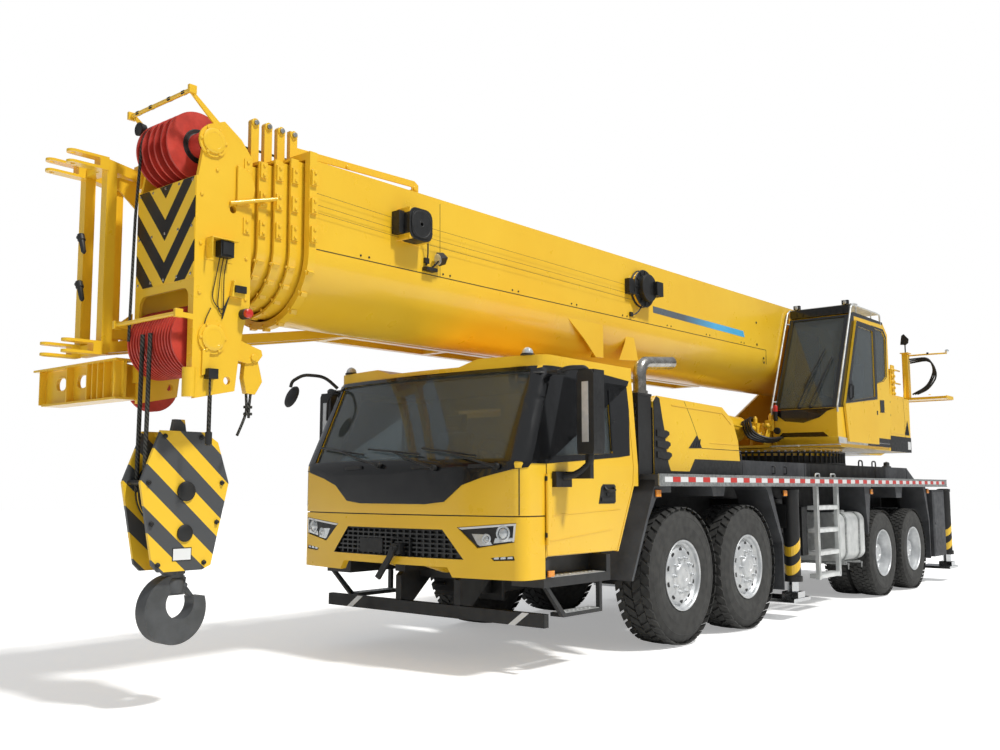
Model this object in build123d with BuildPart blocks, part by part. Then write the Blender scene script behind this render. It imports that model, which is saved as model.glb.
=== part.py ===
"""Truck crane of the 100 tonne class on four axles, with a five-piece telescopic boom.

Millimetres, +Z up, the ground at z = 0, the vehicle's front towards -Y and its left side at +X.
Lengths along the vehicle are stations: distances behind the face of the front underrun bar.
"""

from build123d import *
import os
from math import cos, radians, sin

os.makedirs("parts", exist_ok=True)

# ---------------------------------------------------------------- driving dimensions
OVERALL_LENGTH = 14750
HEAD_OVERHANG = 3200  # underrun bar to the foremost point of the stowed jib
MIRROR_REACH = 1720  # half the width over the mirrors
RUN_GAP = 0.3  # clearance of a seat or a slide
PIN_GAP = 0.05  # radial clearance of a pin in its bore

# running gear: tyres, axles
AXLE_1, AXLE_2, AXLE_3, AXLE_4 = 2165, 3585, 7900, 9250
STEER_TYRE_R, STEER_TYRE_W = 675, 385
DRIVE_TYRE_R, DRIVE_TYRE_W = 608, 310
TYRE_FACE_X = 1410  # outer side wall of every tyre
TWIN_SPACING = 350
STEER_RIM_R, DRIVE_RIM_R = 335, 320
WHEEL_SIDES = 24
KINGPIN_X, KINGPIN_R = 960, 32
STUB_R = 45

# carrier
FRAME_HALF, FRAME_TOP, FRAME_LOW = 400, 1540, 950
DECK_HALF, DECK_TOP, DECK_FRONT, DECK_REAR = 1490, 1652, 1580, 10810
BAR_HALF, BAR_LOW, BAR_HEIGHT = 1330, 390, 110
TOW_FRONT_Z, TOW_REAR_Z, TOW_R = 830, 1000, 25
CAB_HALF, CAB_WALL = 1360, 50
CAB_FRONT, CAB_REAR, CAB_FLOOR, CAB_BELT, CAB_EAVES, CAB_TOP = -450, 1420, 960, 1720, 2560, 2650
WINDSCREEN_LEAN = 380
DOOR_GAP, DOOR_TOP = 8, 2470
HINGE_X, HINGE_STATION, HINGE_R, KNUCKLE_R, HINGE_SPAN = 1380, -8, 9, 16, (1100, 1600)
COVER_FRONT, COVER_REAR, COVER_TOP, COVER_HALF, COVER_WALL = 1760, 3620, 2420, 1330, 40

# outriggers: station of the left beam, then of the right one beside it
FRONT_BOX, REAR_BOX, BEAM_PITCH = 4790, 11010, 280
BEAM_W, BEAM_H, BEAM_LOW = 200, 280, 1050
BOX_HALF, JACK_X, JACK_R, JACK_ROD_R = 1245, 1380, 95, 65
FLOAT_Z, FLOAT_SIZE = 205, 480

# superstructure
SLEW_STATION, RING_R, RING_LOW, RING_TOP = 7350, 1000, 1850, 2030
PIVOT_STATION, PIVOT_Z, PIVOT_R = 9600, 3300, 70
PLATE_IN, PLATE_T = 512, 36
LUFF_FOOT = (6500, 2330)
LUFF_EYE = (2000, 2640)
BARREL_R, LUFF_ROD_R, EYE_R, LUFF_PIN_R, LUFF_LUG = 165, 115, 120, 50, 145
OP_IN, OP_OUT, OP_LOW, OP_TOP, OP_WALL = 556, 1420, 2110, 3960, 40

# boom: each section is one step smaller than the section round it
BOOM_HALF, BOOM_LOW, BOOM_TOP, BOOM_WALL = 500, 2920, 4140, 12
SECTION_STEP, COLLAR_PITCH = 34, 120
BASE_FRONT, BASE_REAR = -1860, 9900
BOOM_SLOPE = 0.6  # degrees that the boom points down at rest
HEAD_HALF, HEAD_PLATE = 380, 32
LOWER_AXLE, UPPER_AXLE = (-2570, 2690), (-2602, 4098)
SHEAVE_R, AXLE_R = 253, 60
JIB_BORES, JIB_BORE_R = ((-2440, 2400), (-2420, 3640)), 28


def at(station):
    """Length coordinate of a station, with the origin at mid-length of the whole crane."""
    return station - OVERALL_LENGTH / 2 + HEAD_OVERHANG


def block(x, station, z, mode=Mode.ADD):
    """Box from its ranges across, along and up."""
    with Locations((sum(x) / 2, at(sum(station) / 2), sum(z) / 2)):
        Box(x[1] - x[0], station[1] - station[0], z[1] - z[0], mode=mode)


def slab(outline, x, mode=Mode.ADD):
    """Plate cut to an outline of (station, height) points, standing between two x values."""
    with BuildSketch(Plane.YZ.offset(x[0])) as face:
        Polygon(*[(at(s), z) for s, z in outline], align=None)
    extrude(face.sketch, amount=x[1] - x[0], mode=mode)


def bar_x(centre, radius, x, mode=Mode.ADD):
    """Round bar across the vehicle about a (station, height) centre."""
    with BuildSketch(Plane.YZ.offset(x[0])) as face:
        with Locations((at(centre[0]), centre[1])):
            Circle(radius)
    extrude(face.sketch, amount=x[1] - x[0], mode=mode)


def post(centre, radius, z, mode=Mode.ADD):
    """Round post about an (x, station) centre."""
    with BuildSketch(Plane.XY.offset(z[0])) as face:
        with Locations((centre[0], at(centre[1]))):
            Circle(radius)
    extrude(face.sketch, amount=z[1] - z[0], mode=mode)


def save(piece, name):
    """Label a finished piece and write its STEP file."""
    piece.label = name
    export_step(piece, f"parts/{name}.step")


SIDES = [("left", 1), ("right", -1)]

# ---------------------------------------------------------------- chassis frame
# Closed box frame with the outrigger boxes, ring pedestal and underrun bars welded or bolted on.
with BuildPart() as chassis_frame:
    slab(
        [
            (250, 700),
            (250, 940),
            (1380, 940),
            (1700, FRAME_TOP),
            (11250, FRAME_TOP),
            (11250, FRAME_LOW),
            (1540, FRAME_LOW),
            (1440, 700),
        ],
        (-FRAME_HALF, FRAME_HALF),
    )
    for station in (FRONT_BOX, REAR_BOX):
        box_ends = (station - BEAM_W / 2 - 60, station + BEAM_PITCH + BEAM_W / 2 + 60)
        block((-BOX_HALF, BOX_HALF), box_ends, (BEAM_LOW - 60, BEAM_LOW + BEAM_H + 60))
        for beam in (station, station + BEAM_PITCH):
            slot = (beam - BEAM_W / 2 - RUN_GAP, beam + BEAM_W / 2 + RUN_GAP)
            slot_z = (BEAM_LOW - RUN_GAP, BEAM_LOW + BEAM_H + RUN_GAP)
            block((-BOX_HALF, BOX_HALF), slot, slot_z, mode=Mode.SUBTRACT)
    ring_ends = (SLEW_STATION - RING_R, SLEW_STATION + RING_R)
    block((-RING_R, RING_R), ring_ends, (FRAME_TOP, RING_LOW))
    post((0, SLEW_STATION), RING_R - 60, (RING_LOW, RING_TOP - 60))
    block((-BAR_HALF, BAR_HALF), (0, 60), (BAR_LOW, BAR_LOW + BAR_HEIGHT))
    for side in (-1, 1):
        hanger = sorted((side * 330, side * 400))
        slab([(10, BAR_LOW), (10, 720), (260, 940), (420, 940), (420, 700), (70, BAR_LOW)], hanger)
    # towing eyes: a lug with an upright pin bore at each end of the frame
    tail = OVERALL_LENGTH - HEAD_OVERHANG
    for lug, bore, z in (((-330, 250), -260, TOW_FRONT_Z), ((11250, 11540), 11495, TOW_REAR_Z)):
        block((-60, 60), lug, (z - 30, z + 30))
        post((0, bore), TOW_R, (z - 30, z + 30), mode=Mode.SUBTRACT)
    for side in (-1, 1):
        block(sorted((side * 120, side * 1250)), (tail - 80, tail), (560, 700))
        slab([(11200, 700), (11200, 1000), (tail, 640), (tail, 560)], sorted((side * 320, side * 400)))
save(chassis_frame.part, "chassis_frame")

# ---------------------------------------------------------------- deck
# Chequer-plate deck with its folded side rails, and the mudguards that hang below it.
with BuildPart() as deck:
    block((-DECK_HALF, DECK_HALF), (DECK_FRONT, DECK_REAR), (DECK_TOP - 50, DECK_TOP))
    for side in (-1, 1):
        rail = sorted((side * (DECK_HALF - 50), side * DECK_HALF))
        block(rail, (DECK_FRONT, DECK_REAR), (FRAME_TOP, DECK_TOP - 50))
        guard = sorted((side * 1030, side * (DECK_HALF - 60)))
        for outline in (
            [(1170, 690), (1200, 690), (1480, 1240), (1660, 1480), (1900, 1480), (1900, 1602),
                (1620, 1602), (1450, 1260)],
            [(2760, 1440), (2990, 1440), (3060, 1602), (2690, 1602)],
            [(3860, 1602), (4050, 1500), (4410, 900), (4425, 360), (4445, 360), (4445, 920), (4120, 1602)],
            [(7130, 1602), (7230, 900), (7250, 900), (7360, 1400), (7430, 1602)],
            [(8460, 1380), (8690, 1380), (8760, 1602), (8390, 1602)],
            [(9700, 1602), (9760, 1500), (9960, 1000), (9980, 420), (10000, 420), (10000, 1010),
                (9850, 1602)],
        ):
            slab(outline, guard)
    # raised service box down the middle, from behind the engine to the tail
    raised = [(3720, DECK_TOP), (3790, RING_LOW), (10350, RING_LOW), (10780, DECK_TOP)]
    slab(raised, (-RING_R, RING_R))
    hole = (SLEW_STATION - RING_R - RUN_GAP, SLEW_STATION + RING_R + RUN_GAP)
    block((-RING_R - RUN_GAP, RING_R + RUN_GAP), hole, (FRAME_TOP, RING_LOW + 10), mode=Mode.SUBTRACT)
    bay = (COVER_FRONT + 100, COVER_REAR - 100)
    block((-FRAME_HALF - 60, FRAME_HALF + 60), bay, (FRAME_TOP, DECK_TOP), mode=Mode.SUBTRACT)
    block((-FRAME_HALF, FRAME_HALF), (DECK_FRONT, COVER_FRONT), (FRAME_TOP, DECK_TOP - 50),
        mode=Mode.SUBTRACT)
    for station in (4300, 5700, 10400):
        block((-FRAME_HALF, FRAME_HALF), (station, station + 100), (FRAME_TOP, DECK_TOP - 50))
save(deck.part, "deck")


# ---------------------------------------------------------------- driver's cab
def cab_section(z, back, inset):
    """Plan of the cab at one height: bowed front, rounded corners, all faces moved in by inset."""
    half = CAB_HALF - inset - back * 0.16
    front = at(CAB_FRONT + back + inset)
    with BuildSketch(Plane.XY.offset(z)) as plan:
        with BuildLine():
            ThreePointArc((-half, front + 150), (0, front), (half, front + 150))
            Polyline((half, front + 150), (half, at(CAB_REAR - inset)), (-half, at(CAB_REAR - inset)),
                (-half, front + 150))
        make_face()
        fillet(plan.vertices().group_by(Axis.Y)[0], 110)
    return plan.sketch


def cab_volume(inset):
    """Cab body as one solid: upright below the belt, leaning back to the eaves, then the roof."""
    with BuildPart() as volume:
        extrude(cab_section(CAB_FLOOR + inset, 0, inset), amount=CAB_BELT - CAB_FLOOR - inset)
        loft([cab_section(CAB_BELT, 0, inset), cab_section(CAB_EAVES, WINDSCREEN_LEAN, inset)], ruled=True)
        extrude(cab_section(CAB_EAVES, WINDSCREEN_LEAN, inset), amount=CAB_TOP - CAB_EAVES - inset)
        # front view of the roof: high over the doors, lower in the middle
        valley = [(-430, 2590), (-640, 2651), (640, 2651), (430, 2590)]
        with BuildSketch(Plane.XZ) as dip:
            Polygon(*[(x, z - inset) for x, z in valley], align=None)
        extrude(dip.sketch, amount=9000, both=True, mode=Mode.SUBTRACT)
        # step in the floor ahead of the doors, and the wheel arch behind them
        block((-2000, 2000), (CAB_FRONT - 100, -10 + inset), (CAB_FLOOR, 1300 + inset), mode=Mode.SUBTRACT)
        arch = [(1070 - inset, CAB_FLOOR), (1345 - inset, 1540 + inset), (1500, 1540 + inset),
            (1500, CAB_FLOOR)]
        slab(arch, (-2000, 2000), mode=Mode.SUBTRACT)
    return volume.part


def door_blank(side, gap):
    """Solid that takes a cab door out of the wall, its edges moved in by a gap."""
    skin = CAB_HALF - CAB_WALL - DOOR_GAP + gap
    low = [(gap, CAB_FLOOR + gap), (1050 - gap, CAB_FLOOR + gap), (1330 - gap, 1560),
        (1345 - gap, CAB_BELT)]
    high = [(1345 - gap, CAB_BELT), (1325 - gap, DOOR_TOP - gap), (320 + gap, DOOR_TOP - gap)]
    with BuildPart() as blank:
        slab(low + [(gap, CAB_BELT)], sorted((side * skin, side * 2000)))
        slab([(gap, CAB_BELT)] + high, sorted((side * 1200, side * 2000)))
    return blank.part


WINDOW = [(100, 1790), (1010, 1835), (1010, 2420), (350, 2420)]
SCREEN_HALF, SCREEN_LOW, SCREEN_HIGH = 1180, 1760, 2520
cab_outer = cab_volume(0)
cab_inner = cab_volume(CAB_WALL)

with BuildPart() as cab_shell:
    add(cab_outer)
    add(cab_inner, mode=Mode.SUBTRACT)
    for _, side in SIDES:
        add(door_blank(side, 0), mode=Mode.SUBTRACT)
    block((-SCREEN_HALF, SCREEN_HALF), (CAB_FRONT - 50, 330), (SCREEN_LOW, SCREEN_HIGH), mode=Mode.SUBTRACT)
    for x in ((-900, -250), (250, 900)):
        block(x, (CAB_REAR - 100, CAB_REAR + 50), (1850, 2350), mode=Mode.SUBTRACT)
    for x in (-380, 280):
        block((x, x + 100), (400, 900), (940, CAB_FLOOR))
    # hinge knuckles of the doors, above and below the door's own barrel
    for _, side in SIDES:
        for z in ((1060, HINGE_SPAN[0] - RUN_GAP), (HINGE_SPAN[1] + RUN_GAP, 1640)):
            post((side * HINGE_X, HINGE_STATION), KNUCKLE_R, z)
            web = (HINGE_STATION - 10, HINGE_STATION)
            block(sorted((side * (CAB_HALF - 10), side * HINGE_X)), web, z)
            post((side * HINGE_X, HINGE_STATION), HINGE_R + PIN_GAP, z, mode=Mode.SUBTRACT)
save(cab_shell.part, "cab_shell")

with BuildPart() as cab_glass:
    add(cab_volume(12))
    add(cab_volume(18), mode=Mode.SUBTRACT)
    screen = (SCREEN_LOW + RUN_GAP, SCREEN_HIGH - RUN_GAP)
    block((-SCREEN_HALF + RUN_GAP, SCREEN_HALF - RUN_GAP), (CAB_FRONT - 50, 330 - RUN_GAP),
        screen, mode=Mode.INTERSECT)
save(cab_glass.part, "cab_glass")

for name, side in SIDES:
    with BuildPart() as door:
        add(cab_outer)
        add(cab_inner, mode=Mode.SUBTRACT)
        add(door_blank(side, DOOR_GAP), mode=Mode.INTERSECT)
        slab(WINDOW, sorted((side * 1000, side * 2000)), mode=Mode.SUBTRACT)
        post((side * HINGE_X, HINGE_STATION), HINGE_R, (1060, 1640))
        post((side * HINGE_X, HINGE_STATION), KNUCKLE_R, HINGE_SPAN)
        block(sorted((side * CAB_HALF, side * HINGE_X)), (DOOR_GAP, 50), HINGE_SPAN)
        block(sorted((side * (HINGE_X - 12), side * HINGE_X)), (HINGE_STATION, DOOR_GAP), HINGE_SPAN)
    save(door.part, f"cab_door_{name}")

# Dashboard, steering wheel and the two seats, each standing on the cab floor or its front wall.
with BuildPart() as cab_interior:
    block((-1200, 1200), (-250, 60), (1350, 1690))
    for x in (-700, 700):
        block((x - 260, x + 260), (480, 1000), (CAB_FLOOR + CAB_WALL, 1480))
        slab([(960, 1480), (1120, 2150), (1230, 2150), (1090, 1480)], (x - 240, x + 240))
    with BuildSketch(Plane((700, at(200), 1780), x_dir=(1, 0, 0), z_dir=(0, 1, 1))) as wheel_face:
        Circle(230)
    extrude(wheel_face.sketch, amount=30)
    slab([(20, 1640), (200, 1800), (240, 1760), (60, 1600)], (670, 730))
save(cab_interior.part, "cab_interior")

# Moulded bumper under the cab front, wrapped round to the doors. Grille, lamp and hook recesses are
# sunk in its skin, and their bars and lamp bodies stand on the floor of the recess.
BUMPER_LOW, BUMPER_TOP, BUMPER_SKIN, RECESS = 790, 1290, 60, 40
GRILLE = [(-585, 1176), (585, 1176), (800, 940), (-800, 940)]
HEADLAMP = [(735, 1200), (1292, 1246), (1276, 1090), (935, 1035)]
FOG_LAMP = [(1060, 962), (1270, 984), (1282, 948), (1090, 938)]


def front_band(near, far):
    """Layer of the bumper's skin between two depths from its outer face."""
    with BuildPart() as band:
        extrude(cab_section(BUMPER_LOW, 0, near), amount=BUMPER_TOP - BUMPER_LOW)
        extrude(cab_section(BUMPER_LOW, 0, far), amount=BUMPER_TOP - BUMPER_LOW, mode=Mode.SUBTRACT)
    return band.part


def front_face(outline, inset=0):
    """Outline of (x, height) points seen from ahead, drawn in from its edge and run through the bumper."""
    with BuildPart() as prism:
        with BuildSketch(Plane.XZ.offset(-at(0))) as face:
            Polygon(*outline, align=None)
            if inset:
                offset(amount=-inset, kind=Kind.INTERSECTION, mode=Mode.REPLACE)
        extrude(face.sketch, amount=-CAB_FRONT + 50)
    return prism.part


def mirrored(outline):
    """The same outline on the other side of the vehicle."""
    return [(-x, z) for x, z in outline]


RECESSES = [GRILLE, HEADLAMP, mirrored(HEADLAMP), FOG_LAMP, mirrored(FOG_LAMP)]
recess_layer, bar_layer = front_band(-5, RECESS), front_band(12, RECESS)
with BuildPart() as front_bumper:
    extrude(cab_section(BUMPER_LOW, 0, 0), amount=BUMPER_TOP - BUMPER_LOW)
    extrude(cab_section(BUMPER_LOW, 0, BUMPER_SKIN), amount=BUMPER_TOP - BUMPER_LOW, mode=Mode.SUBTRACT)
    block((-2000, 2000), (-20, 2000), (BUMPER_LOW - 10, BUMPER_TOP + 10), mode=Mode.SUBTRACT)
    raised = [(-700, BUMPER_LOW - 10), (700, BUMPER_LOW - 10), (640, 870), (-640, 870)]
    add(front_face(raised), mode=Mode.SUBTRACT)
    for outline in RECESSES:
        with BuildPart(mode=Mode.PRIVATE) as recess:
            add(front_face(outline))
            add(recess_layer, mode=Mode.INTERSECT)
        add(recess.part, mode=Mode.SUBTRACT)
    # grille: bars across, and short uprights between them
    with BuildPart(mode=Mode.PRIVATE) as bars:
        for z in range(975, 1170, 38):
            block((-850, 850), (CAB_FRONT - 20, -200), (z, z + 14))
        for n in range(-9, 10):
            block((n * 75 - 7, n * 75 + 7), (CAB_FRONT - 20, -200), (945, 1172))
        add(front_face(GRILLE, 6), mode=Mode.INTERSECT)
        add(bar_layer, mode=Mode.INTERSECT)
    add(bars.part)
    for outline in RECESSES[1:]:
        with BuildPart(mode=Mode.PRIVATE) as lamp:
            add(front_face(outline, 12))
            add(bar_layer, mode=Mode.INTERSECT)
        add(lamp.part)
    for side in (-1, 1):
        hanger = [(-330, 875), (-330, 1000), (250, 860), (250, 780), (0, 780)]
        slab(hanger, sorted((side * 200, side * 250)))
        block(sorted((side * 200, side * 250)), (-400, -320), (880, 1000))
save(front_bumper.part, "front_bumper")

# Mirror heads, each on two arms from the front edge of its door.
for name, side in SIDES:
    with BuildPart() as mirror:
        block(sorted((side * 1560, side * MIRROR_REACH)), (180, 330), (1830, 2500))
        block(sorted((side * 1362, side * 1640)), (230, 280), (1600, 1660))
        block(sorted((side * 1590, side * 1640)), (230, 280), (1600, 1830))
        block(sorted((side * CAB_HALF, side * 1400)), (80, 280), (1560, 1660))
    save(mirror.part, f"mirror_{name}")

# Step boxes under the cab doors and the deck ladders, in aluminium tread and bent tube.
with BuildPart() as steps_and_ladders:
    for side in (-1, 1):
        across = sorted((side * 1000, side * 1340))
        block(across, (-14, 962), (712, 940))
        block(sorted((side * 1150, side * 1350)), (60, 900), (790, 945), mode=Mode.SUBTRACT)
        block(sorted((side * FRAME_HALF, side * 1000)), (300, 400), (820, 900))
        # bent stirrup below: raked front leg, tread, upright rear leg
        stirrup = sorted((side * 1290, side * 1330))
        slab([(26, 712), (70, 712), (296, 484), (270, 452)], stirrup)
        block(stirrup, (802, 842), (452, 712))
        block(sorted((side * 1190, side * 1330)), (270, 842), (452, 484))
        for station in (5480, 6140):
            block(sorted((side * 1380, side * 1430)), (station, station + 50), (400, DECK_TOP - 50))
        for z in (410, 690, 970, 1250):
            block(sorted((side * 1300, side * 1430)), (5480, 6190), (z, z + 50))
save(steps_and_ladders.part, "steps_and_ladders")

# ---------------------------------------------------------------- engine and its cover
with BuildPart() as engine_cover:
    outline = [
        (COVER_FRONT, DECK_TOP),
        (COVER_FRONT, COVER_TOP - 60),
        (COVER_FRONT + 60, COVER_TOP),
        (COVER_REAR - 420, COVER_TOP - 30),
        (COVER_REAR - 180, COVER_TOP - 160),
        (COVER_REAR - 60, COVER_TOP - 380),
        (COVER_REAR, DECK_TOP),
    ]
    slab(outline, (-COVER_HALF, COVER_HALF))
    block((-420, 420), (COVER_FRONT, COVER_REAR), (2090, COVER_TOP), mode=Mode.SUBTRACT)
    w = COVER_WALL
    hollow = [(COVER_FRONT + w, DECK_TOP), (COVER_FRONT + w, 2050), (COVER_REAR - 2 * w, 2050),
        (COVER_REAR - w, DECK_TOP)]
    slab(hollow, (-COVER_HALF + w, COVER_HALF - w), mode=Mode.SUBTRACT)
save(engine_cover.part, "engine_cover")

with BuildPart() as powertrain:
    block((-370, 370), (1960, 3420), (FRAME_TOP, 2000))
    block((-250, 250), (3950, 4550), (640, FRAME_LOW))
    for start, end in ((4550, AXLE_3 - 230), (AXLE_3 + 230, AXLE_4 - 230)):
        with BuildSketch(Plane.XZ.offset(-at(start))) as tube:
            with Locations((0, 700)):
                Circle(55)
        extrude(tube.sketch, amount=-(end - start))
    # silencer on the deck behind the cab, with its bent tail pipe
    block((1010, 1320), (1500, 1740), (DECK_TOP, 2420))
    with BuildLine(Plane.YZ.offset(1250)) as pipe_line:
        FilletPolyline((at(1650), 2400), (at(1650), 2730), (at(2250), 2790), radius=130)
    with BuildSketch(Plane((1250, at(1650), 2400))) as pipe_face:
        Circle(55)
    sweep(pipe_face.sketch, path=pipe_line.line)
save(powertrain.part, "powertrain")

# Fuel tank, hydraulic oil tank and rear lockers on brackets from the frame.
with BuildPart() as side_tanks:
    for side in (-1, 1):
        with BuildSketch(Plane.XZ.offset(-at(6280))) as tank_face:
            with Locations((side * 1085, 885)):
                RectangleRounded(630, 630, 120)
        extrude(tank_face.sketch, amount=-880)
        for station in (6400, 6900):
            block(sorted((side * FRAME_HALF, side * 800)), (station, station + 80), (990, 1080))
        block(sorted((side * 900, side * 1440)), (10150, 10780), (440, 1490))
        block(sorted((side * FRAME_HALF, side * 900)), (10400, 10500), (1100, 1200))
save(side_tanks.part, "side_tanks")


# ---------------------------------------------------------------- axles, knuckles, wheels
def spring_pack(x, station, top, mode=Mode.ADD):
    """Leaf pack clamped on an axle at one x, with its long leaf under the frame."""
    for n in range(4):
        half = 620 - 130 * n
        block((x - 45, x + 45), (station - half, station + half), (top - 24 * (n + 1), top - 24 * n),
            mode=mode)


STEER_AXLES = [("1", AXLE_1), ("2", AXLE_2)]
DRIVE_AXLES = [("3", AXLE_3), ("4", AXLE_4)]
with BuildPart() as axle_beams:
    for _, station in STEER_AXLES:
        z = STEER_TYRE_R
        block((-820, 820), (station - 60, station + 60), (z - 130, z - 10))
        for side in (-1, 1):
            block(sorted((side * 780, side * (KINGPIN_X - 40))), (station - 60, station + 60),
                (z - 88, z + 50))
            post((side * KINGPIN_X, station), 80, (z - 90, z + 90))
            post((side * KINGPIN_X, station), KINGPIN_R + PIN_GAP, (z - 90, z + 90), mode=Mode.SUBTRACT)
            block(sorted((side * 280, side * 370)), (station - 60, station + 60), (z - 10, FRAME_LOW - 96))
            spring_pack(side * 325, station, FRAME_LOW)
    for _, station in DRIVE_AXLES:
        z = DRIVE_TYRE_R
        block((-720, 720), (station - 75, station + 75), (z - 75, z + 75))
        block((-210, 210), (station - 230, station + 230), (z - 200, z + 170))
        for side in (-1, 1):
            bar_x((station, z), STUB_R, sorted((side * 700, side * 1150)))
            block(sorted((side * 280, side * 370)), (station - 60, station + 60), (z + 75, FRAME_LOW - 96))
            spring_pack(side * 325, station, FRAME_LOW)
save(axle_beams.part, "axle_beams")

STUB_END = 1180
for axle, station in STEER_AXLES:
    for name, side in SIDES:
        z = STEER_TYRE_R
        with BuildPart() as knuckle:
            post((side * KINGPIN_X, station), KINGPIN_R, (z - 140, z + 140))
            for low in (z - 140, z + 90 + RUN_GAP):
                high = low + 50 - RUN_GAP
                block(sorted((side * (KINGPIN_X - 70), side * 1075)), (station - 70, station + 70),
                    (low, high))
            block(sorted((side * 1045, side * 1075)), (station - 70, station + 70), (z - 140, z + 140))
            bar_x((station, z), STUB_R, sorted((side * 1060, side * STUB_END)))
        save(knuckle.part, f"knuckle_{axle}_{name}")


def ring_stack(stages, side, centre, mode=Mode.ADD):
    """Wheel-shaped solid: polygon rings of (x, radius), joined flat from each to the next."""
    rings = []
    for x, radius in stages:
        with BuildSketch(Plane.YZ.offset(side * x)) as ring:
            with Locations((at(centre[0]), centre[1])):
                RegularPolygon(radius, WHEEL_SIDES, major_radius=False, rotation=180 / WHEEL_SIDES)
        rings.append(ring.sketch)
    loft(rings, ruled=True, mode=mode)


def tyre(outer_x, width, radius, bore, side, centre):
    """Tyre with bevelled shoulders round a bore that fits its rim."""
    inner_x = outer_x - width
    shoulder = 45
    ring_stack(
        [(inner_x, radius - 130), (inner_x + shoulder, radius), (outer_x - shoulder, radius),
            (outer_x, radius - 130)],
        side,
        centre,
    )
    ring_stack([(inner_x, bore + RUN_GAP), (outer_x, bore + RUN_GAP)], side, centre, mode=Mode.SUBTRACT)


for axle, station in STEER_AXLES:
    for name, side in SIDES:
        centre = (station, STEER_TYRE_R)
        with BuildPart() as steer_tyre:
            tyre(TYRE_FACE_X, STEER_TYRE_W, STEER_TYRE_R, STEER_RIM_R, side, centre)
        save(steer_tyre.part, f"tyre_{axle}_{name}")
        with BuildPart() as steer_rim:
            out = TYRE_FACE_X - 15
            ring_stack([(out - 300, STEER_RIM_R), (out, STEER_RIM_R)], side, centre)
            ring_stack([(out - 300, 295), (out - 105, 280)], side, centre, mode=Mode.SUBTRACT)
            ring_stack([(out - 75, 190), (out - 40, 285), (out, 300)], side, centre, mode=Mode.SUBTRACT)
            bar_x(centre, 130, sorted((side * 1085, side * (out - 30))))
            bar_x(centre, STUB_R + PIN_GAP, sorted((side * 1080, side * (STUB_END + 5))),
                mode=Mode.SUBTRACT)
        save(steer_rim.part, f"rim_{axle}_{name}")

for axle, station in DRIVE_AXLES:
    for name, side in SIDES:
        centre = (station, DRIVE_TYRE_R)
        with BuildPart() as twin_tyres:
            for face in (TYRE_FACE_X, TYRE_FACE_X - TWIN_SPACING):
                tyre(face, DRIVE_TYRE_W, DRIVE_TYRE_R, DRIVE_RIM_R, side, centre)
        save(twin_tyres.part, f"tyre_{axle}_{name}")
        with BuildPart() as twin_rim:
            out = TYRE_FACE_X - 10
            inner = TYRE_FACE_X - TWIN_SPACING - DRIVE_TYRE_W + 10
            ring_stack([(inner, DRIVE_RIM_R), (out, DRIVE_RIM_R)], side, centre)
            ring_stack([(inner, 285), (1135, 285)], side, centre, mode=Mode.SUBTRACT)
            ring_stack([(1170, 180), (1210, 270), (out, 290)], side, centre, mode=Mode.SUBTRACT)
            bar_x(centre, 130, sorted((side * 1000, side * 1260)))
            bar_x(centre, STUB_R + PIN_GAP, sorted((side * 990, side * 1155)), mode=Mode.SUBTRACT)
        save(twin_rim.part, f"rim_{axle}_{name}")

# ---------------------------------------------------------------- outriggers
for end, box_station in (("front", FRONT_BOX), ("rear", REAR_BOX)):
    for name, side in SIDES:
        station = box_station if side > 0 else box_station + BEAM_PITCH
        with BuildPart() as beam:
            across = sorted((-side * (BOX_HALF - 15), side * (JACK_X - 20)))
            block(across, (station - BEAM_W / 2, station + BEAM_W / 2), (BEAM_LOW, BEAM_LOW + BEAM_H))
            post((side * JACK_X, station), JACK_R, (430, 1500))
            post((side * JACK_X, station), JACK_ROD_R + PIN_GAP, (430, 1400), mode=Mode.SUBTRACT)
        save(beam.part, f"outrigger_beam_{end}_{name}")
        with BuildPart() as jack:
            post((side * JACK_X, station), JACK_ROD_R, (FLOAT_Z, 1390))
            foot = (station - 100, station + 100)
            block((side * JACK_X - 100, side * JACK_X + 100), foot, (FLOAT_Z + 30, FLOAT_Z + 110))
            pad = (station - FLOAT_SIZE / 2, station + FLOAT_SIZE / 2)
            block(sorted((side * (DECK_HALF - FLOAT_SIZE), side * DECK_HALF)), pad, (FLOAT_Z, FLOAT_Z + 40))
        save(jack.part, f"outrigger_jack_{end}_{name}")

# ---------------------------------------------------------------- turntable
with BuildPart() as turntable:
    post((0, SLEW_STATION), RING_R, (RING_TOP - 60 + RUN_GAP, RING_TOP + 40))
    plate = [(6300, 2070), (6300, 2480), (7300, 2600), (9250, 3560), (9950, 3560), (10700, 2980),
        (11100, 2980), (11100, 2200), (10500, 2070)]
    for side in (-1, 1):
        slab(plate, sorted((side * PLATE_IN, side * (PLATE_IN + PLATE_T))))
    block((-PLATE_IN, PLATE_IN), (SLEW_STATION - RING_R + 100, 10450), (2070, 2110))
    block((-PLATE_IN, PLATE_IN), (11060, 11100), (2200, 2980))
    for side in (-1, 1):
        slab([(6350, 2110), (6350, 2400), (6420, 2450), (6580, 2450),
            (6900, 2110)], sorted((side * LUFF_LUG, side * (LUFF_LUG + 40))))
    bar_x(LUFF_FOOT, LUFF_PIN_R, (-LUFF_LUG - 40, LUFF_LUG + 40))
    bar_x((PIVOT_STATION, PIVOT_Z), PIVOT_R, (-PLATE_IN - PLATE_T - 30, PLATE_IN + PLATE_T + 30))
    block((PLATE_IN + PLATE_T, 1400), (8410, 9350), (2070, 2890))
    block((-1300, -PLATE_IN - PLATE_T), (7600, 9600), (2070, 2500))
    block((PLATE_IN + PLATE_T, 1400), (6420, 8410), (2070, OP_LOW))
    block((-700, 1480), (11100, 11500), (3040, 3080))
    block((-PLATE_IN, PLATE_IN), (11000, 11100), (2940, 3080))
save(turntable.part, "turntable")

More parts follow.
